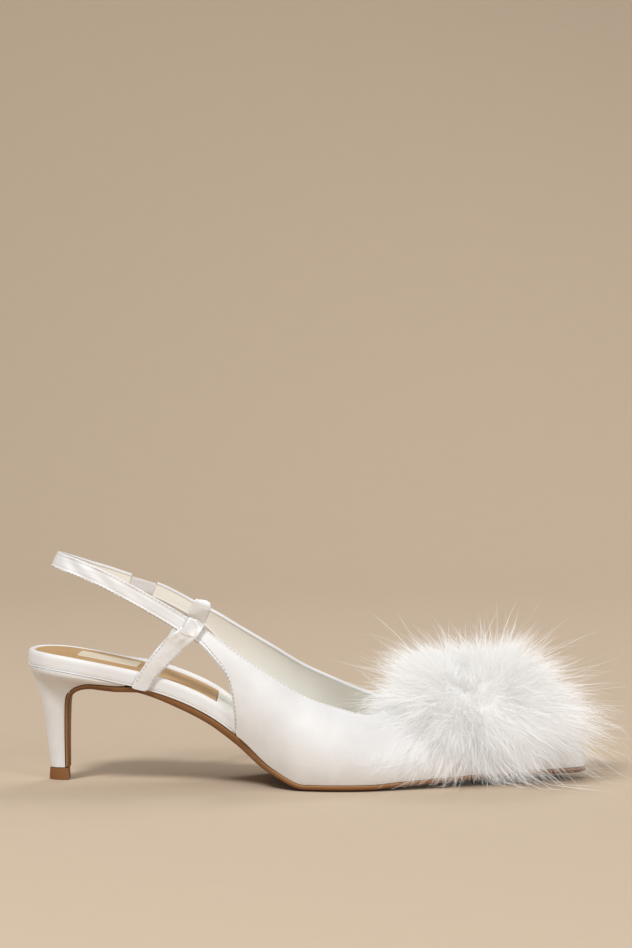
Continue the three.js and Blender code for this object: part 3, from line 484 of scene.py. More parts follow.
satinRows = [
    # name, light, shade, threads, bump, roughness, sheen, folds, metal
    ("whiteSatin", (0.86, 0.855, 0.855), (0.76, 0.75, 0.745), 2600.0, 0.45, 0.56, 0.08, 0.12, 0.06),
    ("strapSatin", (0.89, 0.886, 0.884), (0.74, 0.73, 0.725), 3200.0, 0.5, 0.3, 0.2, 0.7, 0.16),
    # whiteThread is greyer than the satin it sews: painted shade for the stitch holes and grooves
    ("whiteThread", (0.72, 0.70, 0.675), (0.5, 0.47, 0.43), 9000.0, 0.5, 0.5, 0.2, 0.1, 0.16),
]
leatherRows = [
    # name, light, shade, scuffs' colour, pebbles, bump, roughness, scuffs, shine
    # creamLining is the lining's cream, lightened as painted light because the lining lies in shade
    ("creamLining", (0.93, 0.91, 0.85), (0.89, 0.865, 0.79), (0.9, 0.88, 0.83), 1500, 0.25, 0.55, 0.15, 0.3),
    ("tanSock", (0.56, 0.35, 0.17), (0.47, 0.285, 0.13), (0.66, 0.48, 0.28), 1300, 0.3, 0.55, 0.25, 0.15),
    ("creamPatch", (0.76, 0.69, 0.54), (0.71, 0.63, 0.48), (0.82, 0.76, 0.64), 2600, 0.2, 0.5, 0.1, 0.15),
    ("soleLeather", (0.2, 0.082, 0.026), (0.125, 0.048, 0.015), (0.32, 0.17, 0.08), 800, 0.35, 0.48, 0.3, 0.25),
    ("topPieceRubber", (0.26, 0.112, 0.038), (0.19, 0.078, 0.027), (0.36, 0.2, 0.1), 2200, 0.3, 0.55, 0.3, 0.25),
]
# the sole's lighter edge colour: partly the edge's finish, partly painted light on the top of the edge
edgeFinishAndLightColours = {"soleLeather": (0.4, 0.2, 0.08)}
satin, strapSatin, thread = (makeSatin(*row) for row in satinRows)
liningLeather, tanLeather, creamPatch, soleLeather, topPieceRubber = (makeLeather(*row) for row in leatherRows)
# the last number is each material's painted glow
featherMaterial = makeFeather("whiteFeather", (0.93, 0.922, 0.91), (0.975, 0.972, 0.968), 0.09)
downMaterial = makeFeather("whiteDown", (0.95, 0.945, 0.935), (0.97, 0.967, 0.96), 0.1)
print("materials made")

# upper

upperSizes = {
    "columns": 20,
    "vampRows": 70,
    "quarterRows": 64,
    "spacing": 1.1,  # between rows from the wing on
    "edgeRound": 0.55,  # how far the folded edge stands out
    "edgeSink": 0.3,  # how far the cloth is drawn back for it
    "groove": 0.2,  # depth of the channel that the stitches pull
    "foldWidth": 0.6,  # of satin turned over onto the lining
    "foldProud": 0.12,
    "sinkColumns": 6,  # over which the drawing back fades
    "strapStart": 0.12,  # in rows of the strap's table
    "strapStep": {outerSide: 0.46, innerSide: 0.47},
    "strapWidth": 7,
    "strapUp": 47.5,
    "elasticFrom": 13,
    "elasticTo": 14,
}
wingRows = asTable(
    "low high outer inner",
    [
        (0.3816, 0.4304, 0, 0),
        (0.3792, 0.4157, 0.197, 0.215),
        (0.3772, 0.4018, 0.41, 0.45),
        (0.374, 0.3887, 0.59, 0.66),
        (0.3681, 0.3768, 0.735, 0.83),
        (0.3569, 0.3657, 0.83, 0.945),
        (0.3434, 0.3537, 0.885, 1.015),
        (0.3291, 0.341, 0.945, 1.08),
        (0.3132, 0.3271, 1.0, 1.135),
    ],
)
strapRows = asTable(
    "along side up lean",
    [
        (0.2989, -0.345, 0.712, 12),
        (0.2639, -0.337, 0.752, 10),
        (0.2289, -0.328, 0.802, 8),
        (0.194, -0.316, 0.857, 8),
        (0.159, -0.297, 0.914, 9),
        (0.124, -0.263, 0.958, 11),
        (0.0926, -0.205, 0.987, 15),
        (0.0688, -0.12, 0.998, 21),
        (0.0572, 0.003, 1, 25),
        (0.0676, 0.108, 0.977, 21),
        (0.0866, 0.18, 0.952, 15),
        (0.1121, 0.228, 0.924, 11),
        (0.1483, 0.26, 0.899, 9),
        (0.184, 0.272, 0.872, 8),
        (0.2293, 0.279, 0.853, 8),
        (0.2655, 0.282, 0.823, 9),
        (0.2973, 0.284, 0.798, 11),
    ],
)
strapPlaces = placeAt(strapRows["along"])
strapHeights = edgeZAt(strapPlaces) + strapRows["up"] * upperSizes["strapUp"]
strapPoints = np.stack([strapPlaces, strapRows["side"] * last["ballWidth"], strapHeights], 1)
strapLast = len(strapPoints) - 1


def strapPointAt(row):
    before, after = 2 * strapPoints[0] - strapPoints[1], 2 * strapPoints[-1] - strapPoints[-2]
    padded = np.vstack([before, strapPoints, after])
    row = np.asarray(row, float)
    k = np.clip(np.floor(row), 0, strapLast - 1).astype(int)
    t = (row - k)[..., None]
    a, b, c, d = (padded[k + n] for n in range(4))
    return 0.5 * (2 * b + (c - a) * t + (2 * a - 5 * b + 4 * c - d) * t**2 + (3 * b - 3 * c + d - a) * t**3)


def strapFrame(row):
    # centre, along, out and up of the heel strap
    row = np.asarray(row, float)
    centre = strapPointAt(row)
    along = unit(strapPointAt(np.minimum(row + 0.01, strapLast)) - strapPointAt(np.maximum(row - 0.01, 0)))
    lean = np.radians(columnAt(strapRows, "lean", row))[..., None]
    flat = unit(np.stack([-along[..., 1], along[..., 0], 0 * along[..., 0]], -1))
    out = flat * np.cos(lean) + np.array([0, 0, 1.0]) * np.sin(lean)
    out = unit(out - along * (out * along).sum(-1, keepdims=True))
    up = unit(np.cross(along, out))
    up = np.where(up[..., 2:] < 0, -up, up)
    return centre, along, out, up


def strapRow(row, v, depth):
    centre, _, out, up = strapFrame(np.array([row]))
    return centre + up * ((v - 0.5) * upperSizes["strapWidth"])[:, None] + out * (last["wall"] / 2 - depth)


def quarterRow(lowX, highX, side, lowHeight, v, depth):
    lowPhi = phiAt(indexAt(lowX), side, lowHeight)
    highPhi = openingPhi(indexAt(highX), side)
    return onLast(indexAt(mix(lowX, highX, v)), mix(lowPhi, highPhi, v), side, depth)


def quarterGrid(side, v, depth):
    # rows from the throat back through the wing and along the strap
    cornerX, cornerHighX = placeAt(wingRows["low"][0]), placeAt(wingRows["high"][0])
    steps = upperSizes["quarterRows"]
    grid = []
    for k in range(steps):
        t = mix(k / steps, 1 - np.cos(k / steps * pi / 2), 0.5)
        grid.append(quarterRow(mix(throatX, cornerX, t), mix(throatX, cornerHighX, t), side, 0, v, depth))
    coarse = [grid[-1]]
    sideName = "outer" if side == outerSide else "inner"
    for row in range(len(wingRows["low"])):
        low = placeAt(columnAt(wingRows, "low", row, False, False))
        high = placeAt(columnAt(wingRows, "high", row))
        height = columnAt(wingRows, sideName, row) * last["throatHeight"]
        coarse.append(quarterRow(low, high, side, height, v, depth))
    far = upperSizes["elasticFrom"] if side == outerSide else strapLast - upperSizes["elasticTo"]
    rows = np.arange(upperSizes["strapStart"], far + 0.01, upperSizes["strapStep"][side])
    rows[-1] = far
    if side == innerSide:
        rows = strapLast - rows
    coarse += [strapRow(row, v, depth) for row in rows]
    return np.array(grid), np.array(coarse)


def vampGrid(v, depth):
    steps = upperSizes["vampRows"]
    share = np.arange(steps + 1) / steps
    index = mix(lastIndex, indexAt(throatX), 0.5 * share + 0.5 * np.sin(share * pi / 2))
    halves = []
    for side in (outerSide, innerSide):
        low = -lastAt(index, side)["tuck"][:, None]
        phi = mix(low, pi / 2, v[None, :])
        halves.append(onLast(index[:, None], phi, side, depth))
    return np.concatenate([halves[0], halves[1][:, -2::-1]], axis=1)


def upperSides(v, depth):
    # each side's finished rows, evenly spaced from the wing on
    sides = {}
    for side in (outerSide, innerSide):
        near, far = quarterGrid(side, v, depth)
        middle = quarterGrid(side, v, last["wall"] / 2)[1]
        sides[side] = np.concatenate([near[:-1], smoothRows(far, upperSizes["spacing"], middle)])
    return sides


nearEdge = np.array([0, 0.008, 0.016, 0.024, 0.034, 0.05, 0.08])
columnShares = np.concatenate([nearEdge, np.linspace(0.12, 0.88, upperSizes["columns"]), 1 - nearEdge[::-1]])
outerFaces = upperSides(columnShares, 0.0)
innerFaces = upperSides(columnShares, last["wall"])


def edgeRim(outerLine, innerLine, bulge, away):
    # a rounded edge between two faces, and the satin turned over inside; away is a rough way out of the cloth
    inward = unit(innerLine - outerLine)
    out = unit(np.cross(unit(np.gradient(outerLine, axis=0)), -inward))
    if (out[len(out) * 2 // 3] * away).sum() < 0:
        out = -out
    turn = np.linspace(0, 1, 8)[None, :, None]
    edge = outerLine[:, None] + (innerLine - outerLine)[:, None] * turn
    edge = edge + out[:, None] * bulge * np.sin(pi * turn) ** 0.8
    # the turned satin's rows: how far they stand off the lining, and how far down they lie
    width, proud = upperSizes["foldWidth"], upperSizes["foldProud"]
    rows = ((proud, 0), (proud * 1.6, 0.5), (proud, 1), (-0.2, 1.15))
    return edge, np.stack([innerLine + inward * off - out * width * low for off, low in rows], 1)


stitchSizes = {
    "pitch": 1.9,
    "length": 1.15,
    "radius": 0.2,
    "inset": 1.0,
    "channel": 0.38,  # half width of the groove
    "sunk": 0.07,  # into the channel
    "firstRow": 14,  # of the topline's stitches
    "wingGap": 1.1,  # between the wing's two lines
    "wingRows": 40,
    "wingUp": 0.02,
}

# shallow troughs in the satin
creaseLines = [
    # start, end, half width, depth
    ((146, -27, 13), (138, -20, 30), 4.5, 0.35),
    ((120, -37, 20), (127, -38, 6), 5.0, 0.25),
    ((98, -33, 30), (108, -37, 14), 5.5, 0.22),
    ((152, 30, 12), (146, 22, 27), 4.5, 0.3),
    ((23, -24, 87), (19, -21, 95), 2.6, 0.7),
    ((9, -19, 92), (6, -16, 99), 2.8, 0.8),
    ((37, -27, 81), (34, -25, 88), 3.0, 0.5),
]


def sinkCreases(points, through):
    sunk = points.copy()
    level = (4 * columnShares * (1 - columnShares))[None, :, None]  # the sewn edges stay straight
    for start, end, width, depth in creaseLines:
        a, b = np.array(start, float), np.array(end, float)
        t = np.clip(((points - a) @ (b - a)) / ((b - a) @ (b - a)), 0, 1)[..., None]
        gap = np.linalg.norm(points - (a + (b - a) * t), axis=-1, keepdims=True)
        trough = np.exp(-((gap / width) ** 2)) - 0.35 * np.exp(-(((gap - 1.7 * width) / width) ** 2))
        sunk -= through * depth * trough * level
    return sunk


def drawBackEdges(side):
    # the topline and the wing's lower edge give way to the folded edge
    face, back = outerFaces[side], innerFaces[side]
    rows, fade = np.arange(len(face)), upperSizes["sinkColumns"]
    for top, start in ((True, 3), (False, upperSizes["quarterRows"] + 1)):
        share = upperSizes["edgeSink"] * smoothStep(rows, start - 3, start + 6)[:, None]
        if top:
            share = share * smoothStep(rows, 2, 16)[:, None]
        for grid in (face, back):
            inward = unit(grid[:, len(columnShares) // 2] - grid[:, -1 if top else 0])
            for k in range(fade):
                grid[:, -1 - k if top else k] += inward * share * (1 - k / fade)


def stitchChannel(face, through):
    # a shallow groove where the row of stitches pulls the satin down
    steps = np.cumsum(np.linalg.norm(np.diff(face, axis=1), axis=2), axis=1)
    run = np.concatenate([np.zeros((len(face), 1)), steps], axis=1)
    rows = np.arange(len(face))[:, None]
    groove = np.zeros_like(run)
    for gap, start in ((run[:, -1:] - run, 12), (run, upperSizes["quarterRows"] + 1)):
        near = np.exp(-(((gap - stitchSizes["inset"]) / stitchSizes["channel"]) ** 2))
        groove += near * smoothStep(rows, start, start + 4)
    return face - through * (groove * upperSizes["groove"])[..., None]


def makeUpper():
    cloth, lining = Shape(), Shape()
    cloth.addGrid(vampGrid(columnShares, 0.0))
    lining.addGrid(vampGrid(columnShares, last["wall"]))
    bulge, corner = upperSizes["edgeRound"], upperSizes["quarterRows"]
    for side in (outerSide, innerSide):
        drawBackEdges(side)
        face, back = outerFaces[side], innerFaces[side]
        through = unit(face - back)
        cloth.addGrid(stitchChannel(sinkCreases(face, through), through))
        lining.addGrid(back)
        rising = (bulge * smoothStep(np.arange(len(face)), corner, corner + 5))[:, None, None]
        for column, start, swell, away in ((-1, 0, bulge, (0, 0, 1)), (0, corner, rising, (-1, 0, -1))):
            for grid in edgeRim(face[:, column], back[:, column], swell, away):
                cloth.addGrid(grid[start:])
        cloth.addCap(np.concatenate([face[-1], back[-1][::-1]]))
    settings = {"weld": 0.02, "outward": (60, 0, 30)}
    addPiece("upperSatin", cloth, satin, "satin", ("upper",), **settings)
    inside = addPiece("upperLining", lining, liningLeather, "cream_sock", ("upper",), **settings)
    inside.data.flip_normals()


makeUpper()
print("upper made")

# stitches


def addStitches(shape, line, normal):
    # one small lens of thread every pitch along a line
    sizes = stitchSizes
    at = np.concatenate(([0], np.cumsum(np.linalg.norm(np.diff(line, axis=0), axis=1))))
    middles = np.arange(sizes["pitch"], at[-1] - sizes["pitch"] / 2, sizes["pitch"])
    pick = lambda values, where: np.stack([np.interp(where, at, values[:, k]) for k in range(3)], 1)
    centres = pick(line, middles)
    along = unit(pick(line, middles + 0.3) - pick(line, middles - 0.3))
    up = unit(pick(normal, middles))
    across = unit(np.cross(along, up))
    long = np.array([-1, -0.72, 0, 0.72, 1.0])[:, None, None] * sizes["length"] / 2
    fat = np.array([0.15, 0.8, 1.0, 0.8, 0.15])[:, None, None] * sizes["radius"]
    turn = np.arange(6)[:, None] / 6 * 2 * pi
    for centre, a, s, n in zip(centres, along, across, up):
        shape.addBody(centre + a * long + (s * np.cos(turn) + n * np.sin(turn)) * fat)


def lineOnFace(face, back, inset, top):
    # a line on a face, a little in from its edge
    share = inset / np.linalg.norm(np.diff(face, axis=1), axis=2).sum(axis=1)
    position = (1 - share if top else share) * (face.shape[1] - 1)
    k = np.clip(np.floor(position).astype(int), 0, face.shape[1] - 2)
    t = (position - k)[:, None]
    rows = np.arange(len(face))
    pick = lambda grid: grid[rows, k] * (1 - t) + grid[rows, k + 1] * t
    return pick(face), unit(pick(face) - pick(back))


def makeStitches():
    # along the topline and the lower edge, with a short second line on the wing
    sizes, shape = stitchSizes, Shape()
    corner = upperSizes["quarterRows"] + 2
    seams = (
        (True, sizes["inset"], slice(sizes["firstRow"], None), -sizes["sunk"]),
        (False, sizes["inset"], slice(corner, None), -sizes["sunk"]),
        (False, sizes["inset"] + sizes["wingGap"], slice(corner, corner + sizes["wingRows"]), sizes["wingUp"]),
    )
    for side in (outerSide, innerSide):
        for top, inset, part, up in seams:
            line, normal = lineOnFace(outerFaces[side], innerFaces[side], inset, top)
            addStitches(shape, line[part] + normal[part] * up, normal[part])
    addPiece("upperStitches", shape, thread, "satin", weld=0.001)


makeStitches()
print("stitches made")

# footbed and socks

bedSizes = {
    "thickness": 6.8,
    "foreThickness": 3,
    "rimLip": 1.3,
    "rimWidth": 3,
    "cupDepth": 0.25,
    "archLift": 1.4,  # of the inner rim, rising and falling between these places
    "archFrom": (24, 46),
    "archTo": (66, 88),
    "sockThickness": 0.8,
    "sockJoint": 71,
    "outlineSteps": 150,
    "rimSpacing": 0.35,  # between rings round the edge
    "beadRadius": 0.32,
    "beadIn": 0.25,
    "beadUp": 0.12,
    "beadTo": 0.385,  # of the last's length
}
bedInset = last["wall"] + last["gap"]


def bedUp(x):
    slope = (edgeZAt(x + 1.5) - edgeZAt(x - 1.5)) / 3
    return unit(np.stack([-slope, 0 * slope, 1 + 0 * slope], -1))


def bedThickness(x):
    return mix(bedSizes["thickness"], bedSizes["foreThickness"], smoothStep(x, placeAt(0.4), placeAt(0.5)))


def rimShare(x):
    return mix(1, 0.4, smoothStep(x, placeAt(0.4), placeAt(0.5)))


def recessHeight(x, share):
    # the recess's floor over the sole's edge; share is the way from the rim to the spine
    deep = share * (2 - share)
    return bedThickness(x) - bedSizes["rimLip"] * rimShare(x) - bedSizes["cupDepth"] * rimShare(x) * deep


def bedOutline(inset):
    steps = bedSizes["outlineSteps"]
    index = np.concatenate([np.arange(steps + 1), np.arange(steps - 1, 0, -1)]) / steps * lastIndex
    side = np.concatenate([np.full(steps + 1, outerSide), np.full(steps - 1, innerSide)])
    spineIndex = np.clip(index, indexAt(placeAt(0.1)), indexAt(placeAt(0.95)))
    at, spine = lastAt(index), lastAt(spineIndex)
    edge = np.stack([at["x"], at["middle"] + side * at["half"]], 1)
    centre = np.stack([spine["x"], spine["middle"]], 1)
    sunk = inset * mix(1, 2.6, smoothStep(at["x"], placeAt(0.96), placeAt(1)))
    way = centre - edge
    distance = np.linalg.norm(way, axis=1)
    edge = edge + way / distance[:, None] * sunk[:, None]
    return edge, centre, distance - sunk


def slabGrid(inset, rings):
    # each ring lies "in" by millimetres, or by a "share" of the way to the spine, at a height over the sole
    edge, centre, distance = bedOutline(inset)
    grid = []
    for kind, amount, height in rings:
        share = np.full(len(edge), amount) if kind == "share" else np.clip(amount / distance, 0, 0.9)
        plan = edge + (centre - edge) * share[:, None]
        x = plan[:, 0]
        base = np.stack([x, plan[:, 1], edgeZAt(x)], 1)
        grid.append(base + bedUp(x) * np.asarray(height(x))[:, None])
    return np.array(grid)


def makeFootbed():
    sizes = bedSizes
    corner = 0.3 * sizes["thickness"]
    level = lambda share: lambda x: share * bedThickness(x)
    lip = lambda share: lambda x: bedThickness(x) - share * sizes["rimLip"] * rimShare(x)
    # from the underside round the edge and over the rim
    rings = [("in", a * corner, level(b)) for a, b in ((0.75, 0), (0.5, 0.01), (0.12, 0.1), (0, 0.3))]
    rings += [("in", -0.12, level(0.5)), ("in", 0, level(0.7))]
    crest = ((0.2, 0.25), (0.45, 0), (0.7, 0.32), (0.92, 0.85))
    rings += [("in", a * sizes["rimWidth"], lip(b)) for a, b in crest]
    rings += [("in", sizes["rimWidth"], lambda x: recessHeight(x, 0))]
    rim = slabGrid(bedInset, rings)
    under = slabGrid(bedInset, [("share", 1, level(0)), ("share", 0.5, level(0)), rings[0]])
    floor = [("share", share, lambda x, share=share: recessHeight(x, share)) for share in (0.3, 0.5, 0.75, 1)]
    recess = slabGrid(bedInset, [rings[-1], *floor])
    # on the inner side the rim stands higher along the arch
    onArch = np.arange(rim.shape[1]) > sizes["outlineSteps"]
    for ring, share in zip(range(5, 10), (0.35, 0.8, 1, 1, 0.75)):
        x = rim[ring, :, 0]
        lift = sizes["archLift"] * smoothStep(x, *sizes["archFrom"])
        lift = lift * (1 - smoothStep(x, *sizes["archTo"])) * share
        rim[ring] += bedUp(x) * (lift * onArch)[:, None]
    shape = Shape()
    for grid in (under, smoothRows(rim, sizes["rimSpacing"]), recess):
        shape.addGrid(grid, closed=True)
    addPiece("footbedSatin", shape, satin, "satin", ("footbed",), weld=0.02)


def makeBead():
    # a fine line of thread where the wrap is turned under, round the seat and the waist
    sizes, steps = bedSizes, bedSizes["outlineSteps"]
    # turned so that it starts in front on the inner side, and cut off in front
    edge = np.roll(bedOutline(bedInset + sizes["beadIn"])[0], steps - 1, axis=0)
    edge = edge[edge[:, 0] < placeAt(sizes["beadTo"])]
    x = edge[:, 0]
    line = np.stack([x, edge[:, 1], edgeZAt(x)], 1) + bedUp(x) * sizes["beadUp"]
    along = unit(np.gradient(line, axis=0))
    side = unit(np.cross(along, np.array([0, 0, 1.0])))
    up = np.cross(side, along)
    turn = np.arange(8)[:, None] / 8 * 2 * pi
    ring = side[:, None] * np.cos(turn) + up[:, None] * np.sin(turn)
    shape = Shape()
    shape.addBody(line[:, None] + sizes["beadRadius"] * ring)
    addPiece("footbedBead", shape, satin, "satin", weld=0.001)


def makeSocks():
    gap, rim = last["gap"], bedSizes["rimWidth"]
    top = gap + bedSizes["sockThickness"]
    lay = lambda share, lift: lambda x: recessHeight(x, share) + lift
    rings = [("share", s, lay(s, gap)) for s in (1, 0.75, 0.5, 0.25)]
    sides = ((1, gap), (1, 0.7 * top), (1.5, 0.95 * top), (2.5, top))
    rings += [("in", rim + gap * gaps, lay(0, lift)) for gaps, lift in sides]
    rings += [("share", s, lay(s, top)) for s in (0.25, 0.5, 0.75, 1)]
    shape = Shape()
    shape.addGrid(slabGrid(bedInset, rings), closed=True)
    for name, material, slotName, node, sign in (
        ("heelSock", tanLeather, "tan_sock", "heel_sock", 1),
        ("foreSock", liningLeather, "cream_sock", "fore_sock", -1),
    ):
        mesh = shape.mesh(name)
        work = bmesh.new()
        work.from_mesh(mesh)
        bmesh.ops.remove_doubles(work, verts=work.verts, dist=0.02 * millimetre)
        joint = Vector(((bedSizes["sockJoint"] - sign * gap / 2) * millimetre, 0, 0))
        every = work.verts[:] + work.edges[:] + work.faces[:]
        cut = bmesh.ops.bisect_plane(work, geom=every, plane_co=joint, plane_no=(sign, 0, 0), clear_outer=True)
        openEdges = [e for e in cut["geom_cut"] if isinstance(e, bmesh.types.BMEdge)]
        bmesh.ops.holes_fill(work, edges=openEdges, sides=0)
        work.to_mesh(mesh)
        work.free()
        addPiece(name, mesh, material, slotName, (node,), sharpAngle=50)


patchSizes = {
    "middle": (21.0, 2.4),
    "length": 26.5,
    "width": 18.5,
    "turn": -3,
    "lift": 0.28,
    "corner": 1.2,
    "bevel": 0.985,
}


def makePatch():
    sizes = patchSizes
    halfL, halfW, corner = sizes["length"] / 2, sizes["width"] / 2, sizes["corner"]
    ring = []
    for cx, cy, start in ((1, 1, 0), (-1, 1, 90), (-1, -1, 180), (1, -1, 270)):
        for k in range(7):
            angle = radians(start + 15 * k)
            x, y = cx * (halfL - corner), cy * (halfW - corner)
            ring.append((x + corner * np.cos(angle), y + corner * np.sin(angle)))
    ring = np.array(ring)
    turn = radians(sizes["turn"])
    spin = np.array([[np.cos(turn), -np.sin(turn)], [np.sin(turn), np.cos(turn)]])
    top = last["gap"] + bedSizes["sockThickness"]

    def onSock(plan, lift):
        x, y = plan.T
        at = lastAt(indexAt(x))
        share = np.clip(1 - np.abs(y - at["middle"]) / (at["half"] - bedInset), 0, 1)
        return np.stack([x, y, at["edgeZ"]], 1) + bedUp(x) * (recessHeight(x, share) + top + lift)[:, None]

    full, bevel = np.ones(2), sizes["bevel"]
    edges = [(full, -0.1), (full, 0.7 * sizes["lift"])]
    edges += [(np.array([bevel, 1 - (1 - bevel) * halfL / halfW]), sizes["lift"])]
    edges += [(full * scale, sizes["lift"]) for scale in (0.8, 0.5, 0.2, 0.02)]
    shape = Shape()
    rings = [onSock(ring * scale @ spin.T + sizes["middle"], lift) for scale, lift in edges]
    shape.addBody(np.array(rings), (-1,))
    addPiece("sockPatch", shape, creamPatch, "cream_sock", weld=0.01, sharpAngle=50)


makeFootbed()
makeBead()
makeSocks()
makePatch()
print("footbed made")

# heel and top piece

heelSizes = {
    "reach": 32.5,
    "topPieceUp": 5.4,
    "topPieceLength": 8.6,
    "topPieceWidth": 9.4,
    "rings": 90,
    "arcSteps": 46,
    "under": 7,  # rings next to the seat
}
heelRows = asTable(
    "back front backUp frontUp half middle straight",
    [
        (-0.412, 0.95, 1, 0.838, 0.735, -0.022, 0.45),
        (-0.398, 0.8, 0.969, 0.832, 0.71, -0.018, 0.42),
        (-0.372, 0.61, 0.921, 0.838, 0.64, -0.01, 0.36),
        (-0.345, 0.43, 0.883, 0.837, 0.535, -0.005, 0.3),
        (-0.32, 0.285, 0.834, 0.811, 0.445, 0, 0.25),
        (-0.297, 0.18, 0.779, 0.766, 0.37, 0, 0.22),
        (-0.268, 0.112, 0.714, 0.709, 0.315, 0, 0.2),
        (-0.24, 0.09, 0.627, 0.627, 0.274, 0, 0.2),
        (-0.208, 0.083, 0.506, 0.506, 0.236, 0, 0.2),
        (-0.178, 0.08, 0.349, 0.349, 0.203, 0, 0.2),
        (-0.149, 0.08, 0.175, 0.175, 0.174, 0, 0.2),
        (-0.117, 0.083, 0, 0, 0.149, 0, 0.2),
    ],
)
seatZ = edgeZAt(placeAt(0))


def onHeel(along, up):
    low = heelSizes["topPieceUp"] + last["gap"]
    z = mix(low, seatZ - last["gap"], up)
    return np.stack(np.broadcast_arrays(along * heelSizes["reach"], 0.0 * z, z), -1)


def heelRing(row):
    value = {name: columnAt(heelRows, name, row, False, False) for name in heelRows}
    back, front = onHeel(value["back"], value["backUp"]), onHeel(value["front"], value["frontUp"])
    half, middle = (value[name] * heelSizes["reach"] for name in ("half", "middle"))
    flat = value["straight"]
    angle = np.linspace(-pi / 2, pi / 2, heelSizes["arcSteps"] + 1)
    depth = flat + (1 - flat) * np.maximum(np.cos(angle), 0) ** 0.92
    depth = np.concatenate([depth, [0.25 * flat, 0, -0.012, -0.012, 0, 0.25 * flat]])
    side = half * np.concatenate([np.sin(angle), [0.985, 0.95, 0.4, -0.4, -0.95, -0.985]])
    ring = front + (back - front) * depth[:, None]
    ring[:, 1] = middle + side
    return ring


def makeHeel():
    sizes, shape = heelSizes, Shape()
    rings = np.array([heelRing(row) for row in np.linspace(0, len(heelRows["back"]) - 1, sizes["rings"])])
    rings[0][:, 2] = edgeZAt(rings[0][:, 0]) - last["gap"]
    for k in range(1, sizes["under"]):
        # the sections next to the seat follow it, so that the cover runs up to it without a step
        ceiling = edgeZAt(rings[k][:, 0]) - last["gap"] - 0.12 * k
        rings[k][:, 2] = np.minimum(rings[k][:, 2], ceiling)
    shape.addBody(rings)
    addPiece("heelCover", shape, satin, "satin", ("heel",), weld=0.01, sharpAngle=60)


def makeTopPiece():
    sizes, shape = heelSizes, Shape()
    up, corner = sizes["topPieceUp"], 0.25 * sizes["topPieceLength"]
    angle = np.linspace(-pi / 2, pi / 2, 40)

    def outline(z, spread, inset):
        half = sizes["topPieceWidth"] / 2 * spread - inset
        front = sizes["topPieceLength"] / 2 * spread - inset
        breast = [front - 0.1, front, front, front - 0.1]
        x = np.concatenate([corner - (front + corner) * np.cos(angle), breast])
        y = half * np.concatenate([np.sin(angle), [0.99, 0.95, -0.95, -0.99]])
        return np.stack([x, y, np.full(len(x), z)], 1)

    rings = [
        # height, spread and inset, from the floor up
        (0.0, 1.06, 0.45),
        (0.12, 1.06, 0.12),
        (0.5, 1.058, 0.0),
        (0.5 * up, 1.03, 0.0),
        (up - 0.35, 1.002, 0.0),
        (up - 0.08, 1.0, 0.1),
        (up, 1.0, 0.35),
    ]
    shape.addBody(np.array([outline(*ring) for ring in rings]))
    addPiece("topPiece", shape, topPieceRubber, "top_piece", ("top_piece",), weld=0.005, sharpAngle=50)


makeHeel()
makeTopPiece()
print("heel made")

# outsole

soleSizes = {
    "thickness": 2.7,
    "edge": 1.9,
    "waistEdge": 3.3,
    "heelEdge": 2.2,
    "flap": 1.7,
    "bend": 4,
    "overhang": 0.4,
    "waistInset": 1,
    "rows": 150,
    "tongueSpacing": 0.8,
}


def soleSection(origin, down, middle, half, edge, crown):
    # a closed section: flat on top, a rounded edge, a bevel and a crowned underside
    corner = min(0.35 * edge, 0.6)
    across = np.array([0, 0.3, 0.5, 0.66, 0.8, 0.9, 0.96])
    under = mix(edge + crown, edge, np.minimum(smoothStep(across, 0.42, 1.15) * 1.35, 1))
    points = [(0, 0), (0.5 * half, 0), (half - 0.5 * corner, 0), (half - 0.1 * corner, 0.12 * corner)]
    points += [(half, 0.5 * corner), (half, 0.45 * edge), (half - 0.02, 0.75 * edge)]
    points += [(half - 0.35 * corner, 0.95 * edge)]
    points += [(max(half - corner, 0) * a / 0.96, d) for a, d in zip(across[::-1], under[::-1])]
    # tones: the top of the edge takes the lighter edge colour, fading down the edge to the darker underside; partly
    # the edge's finish, partly painted light and shade
    tones = [1, 1, 1, 1, 0.8, 0.25, 0.1, 0.05] + [0.0] * len(across)
    side, deep, tone = np.column_stack([np.array(points), tones]).T
    side = np.concatenate([side, -side[-2:0:-1]]) * (half > 0)
    deep, tone = (np.concatenate([values, values[-2:0:-1]]) for values in (deep, tone))
    ring = np.stack([np.full(len(side), origin[0]), middle + side, np.full(len(side), origin[2])], 1)
    return ring + down[None] * deep[:, None], tone


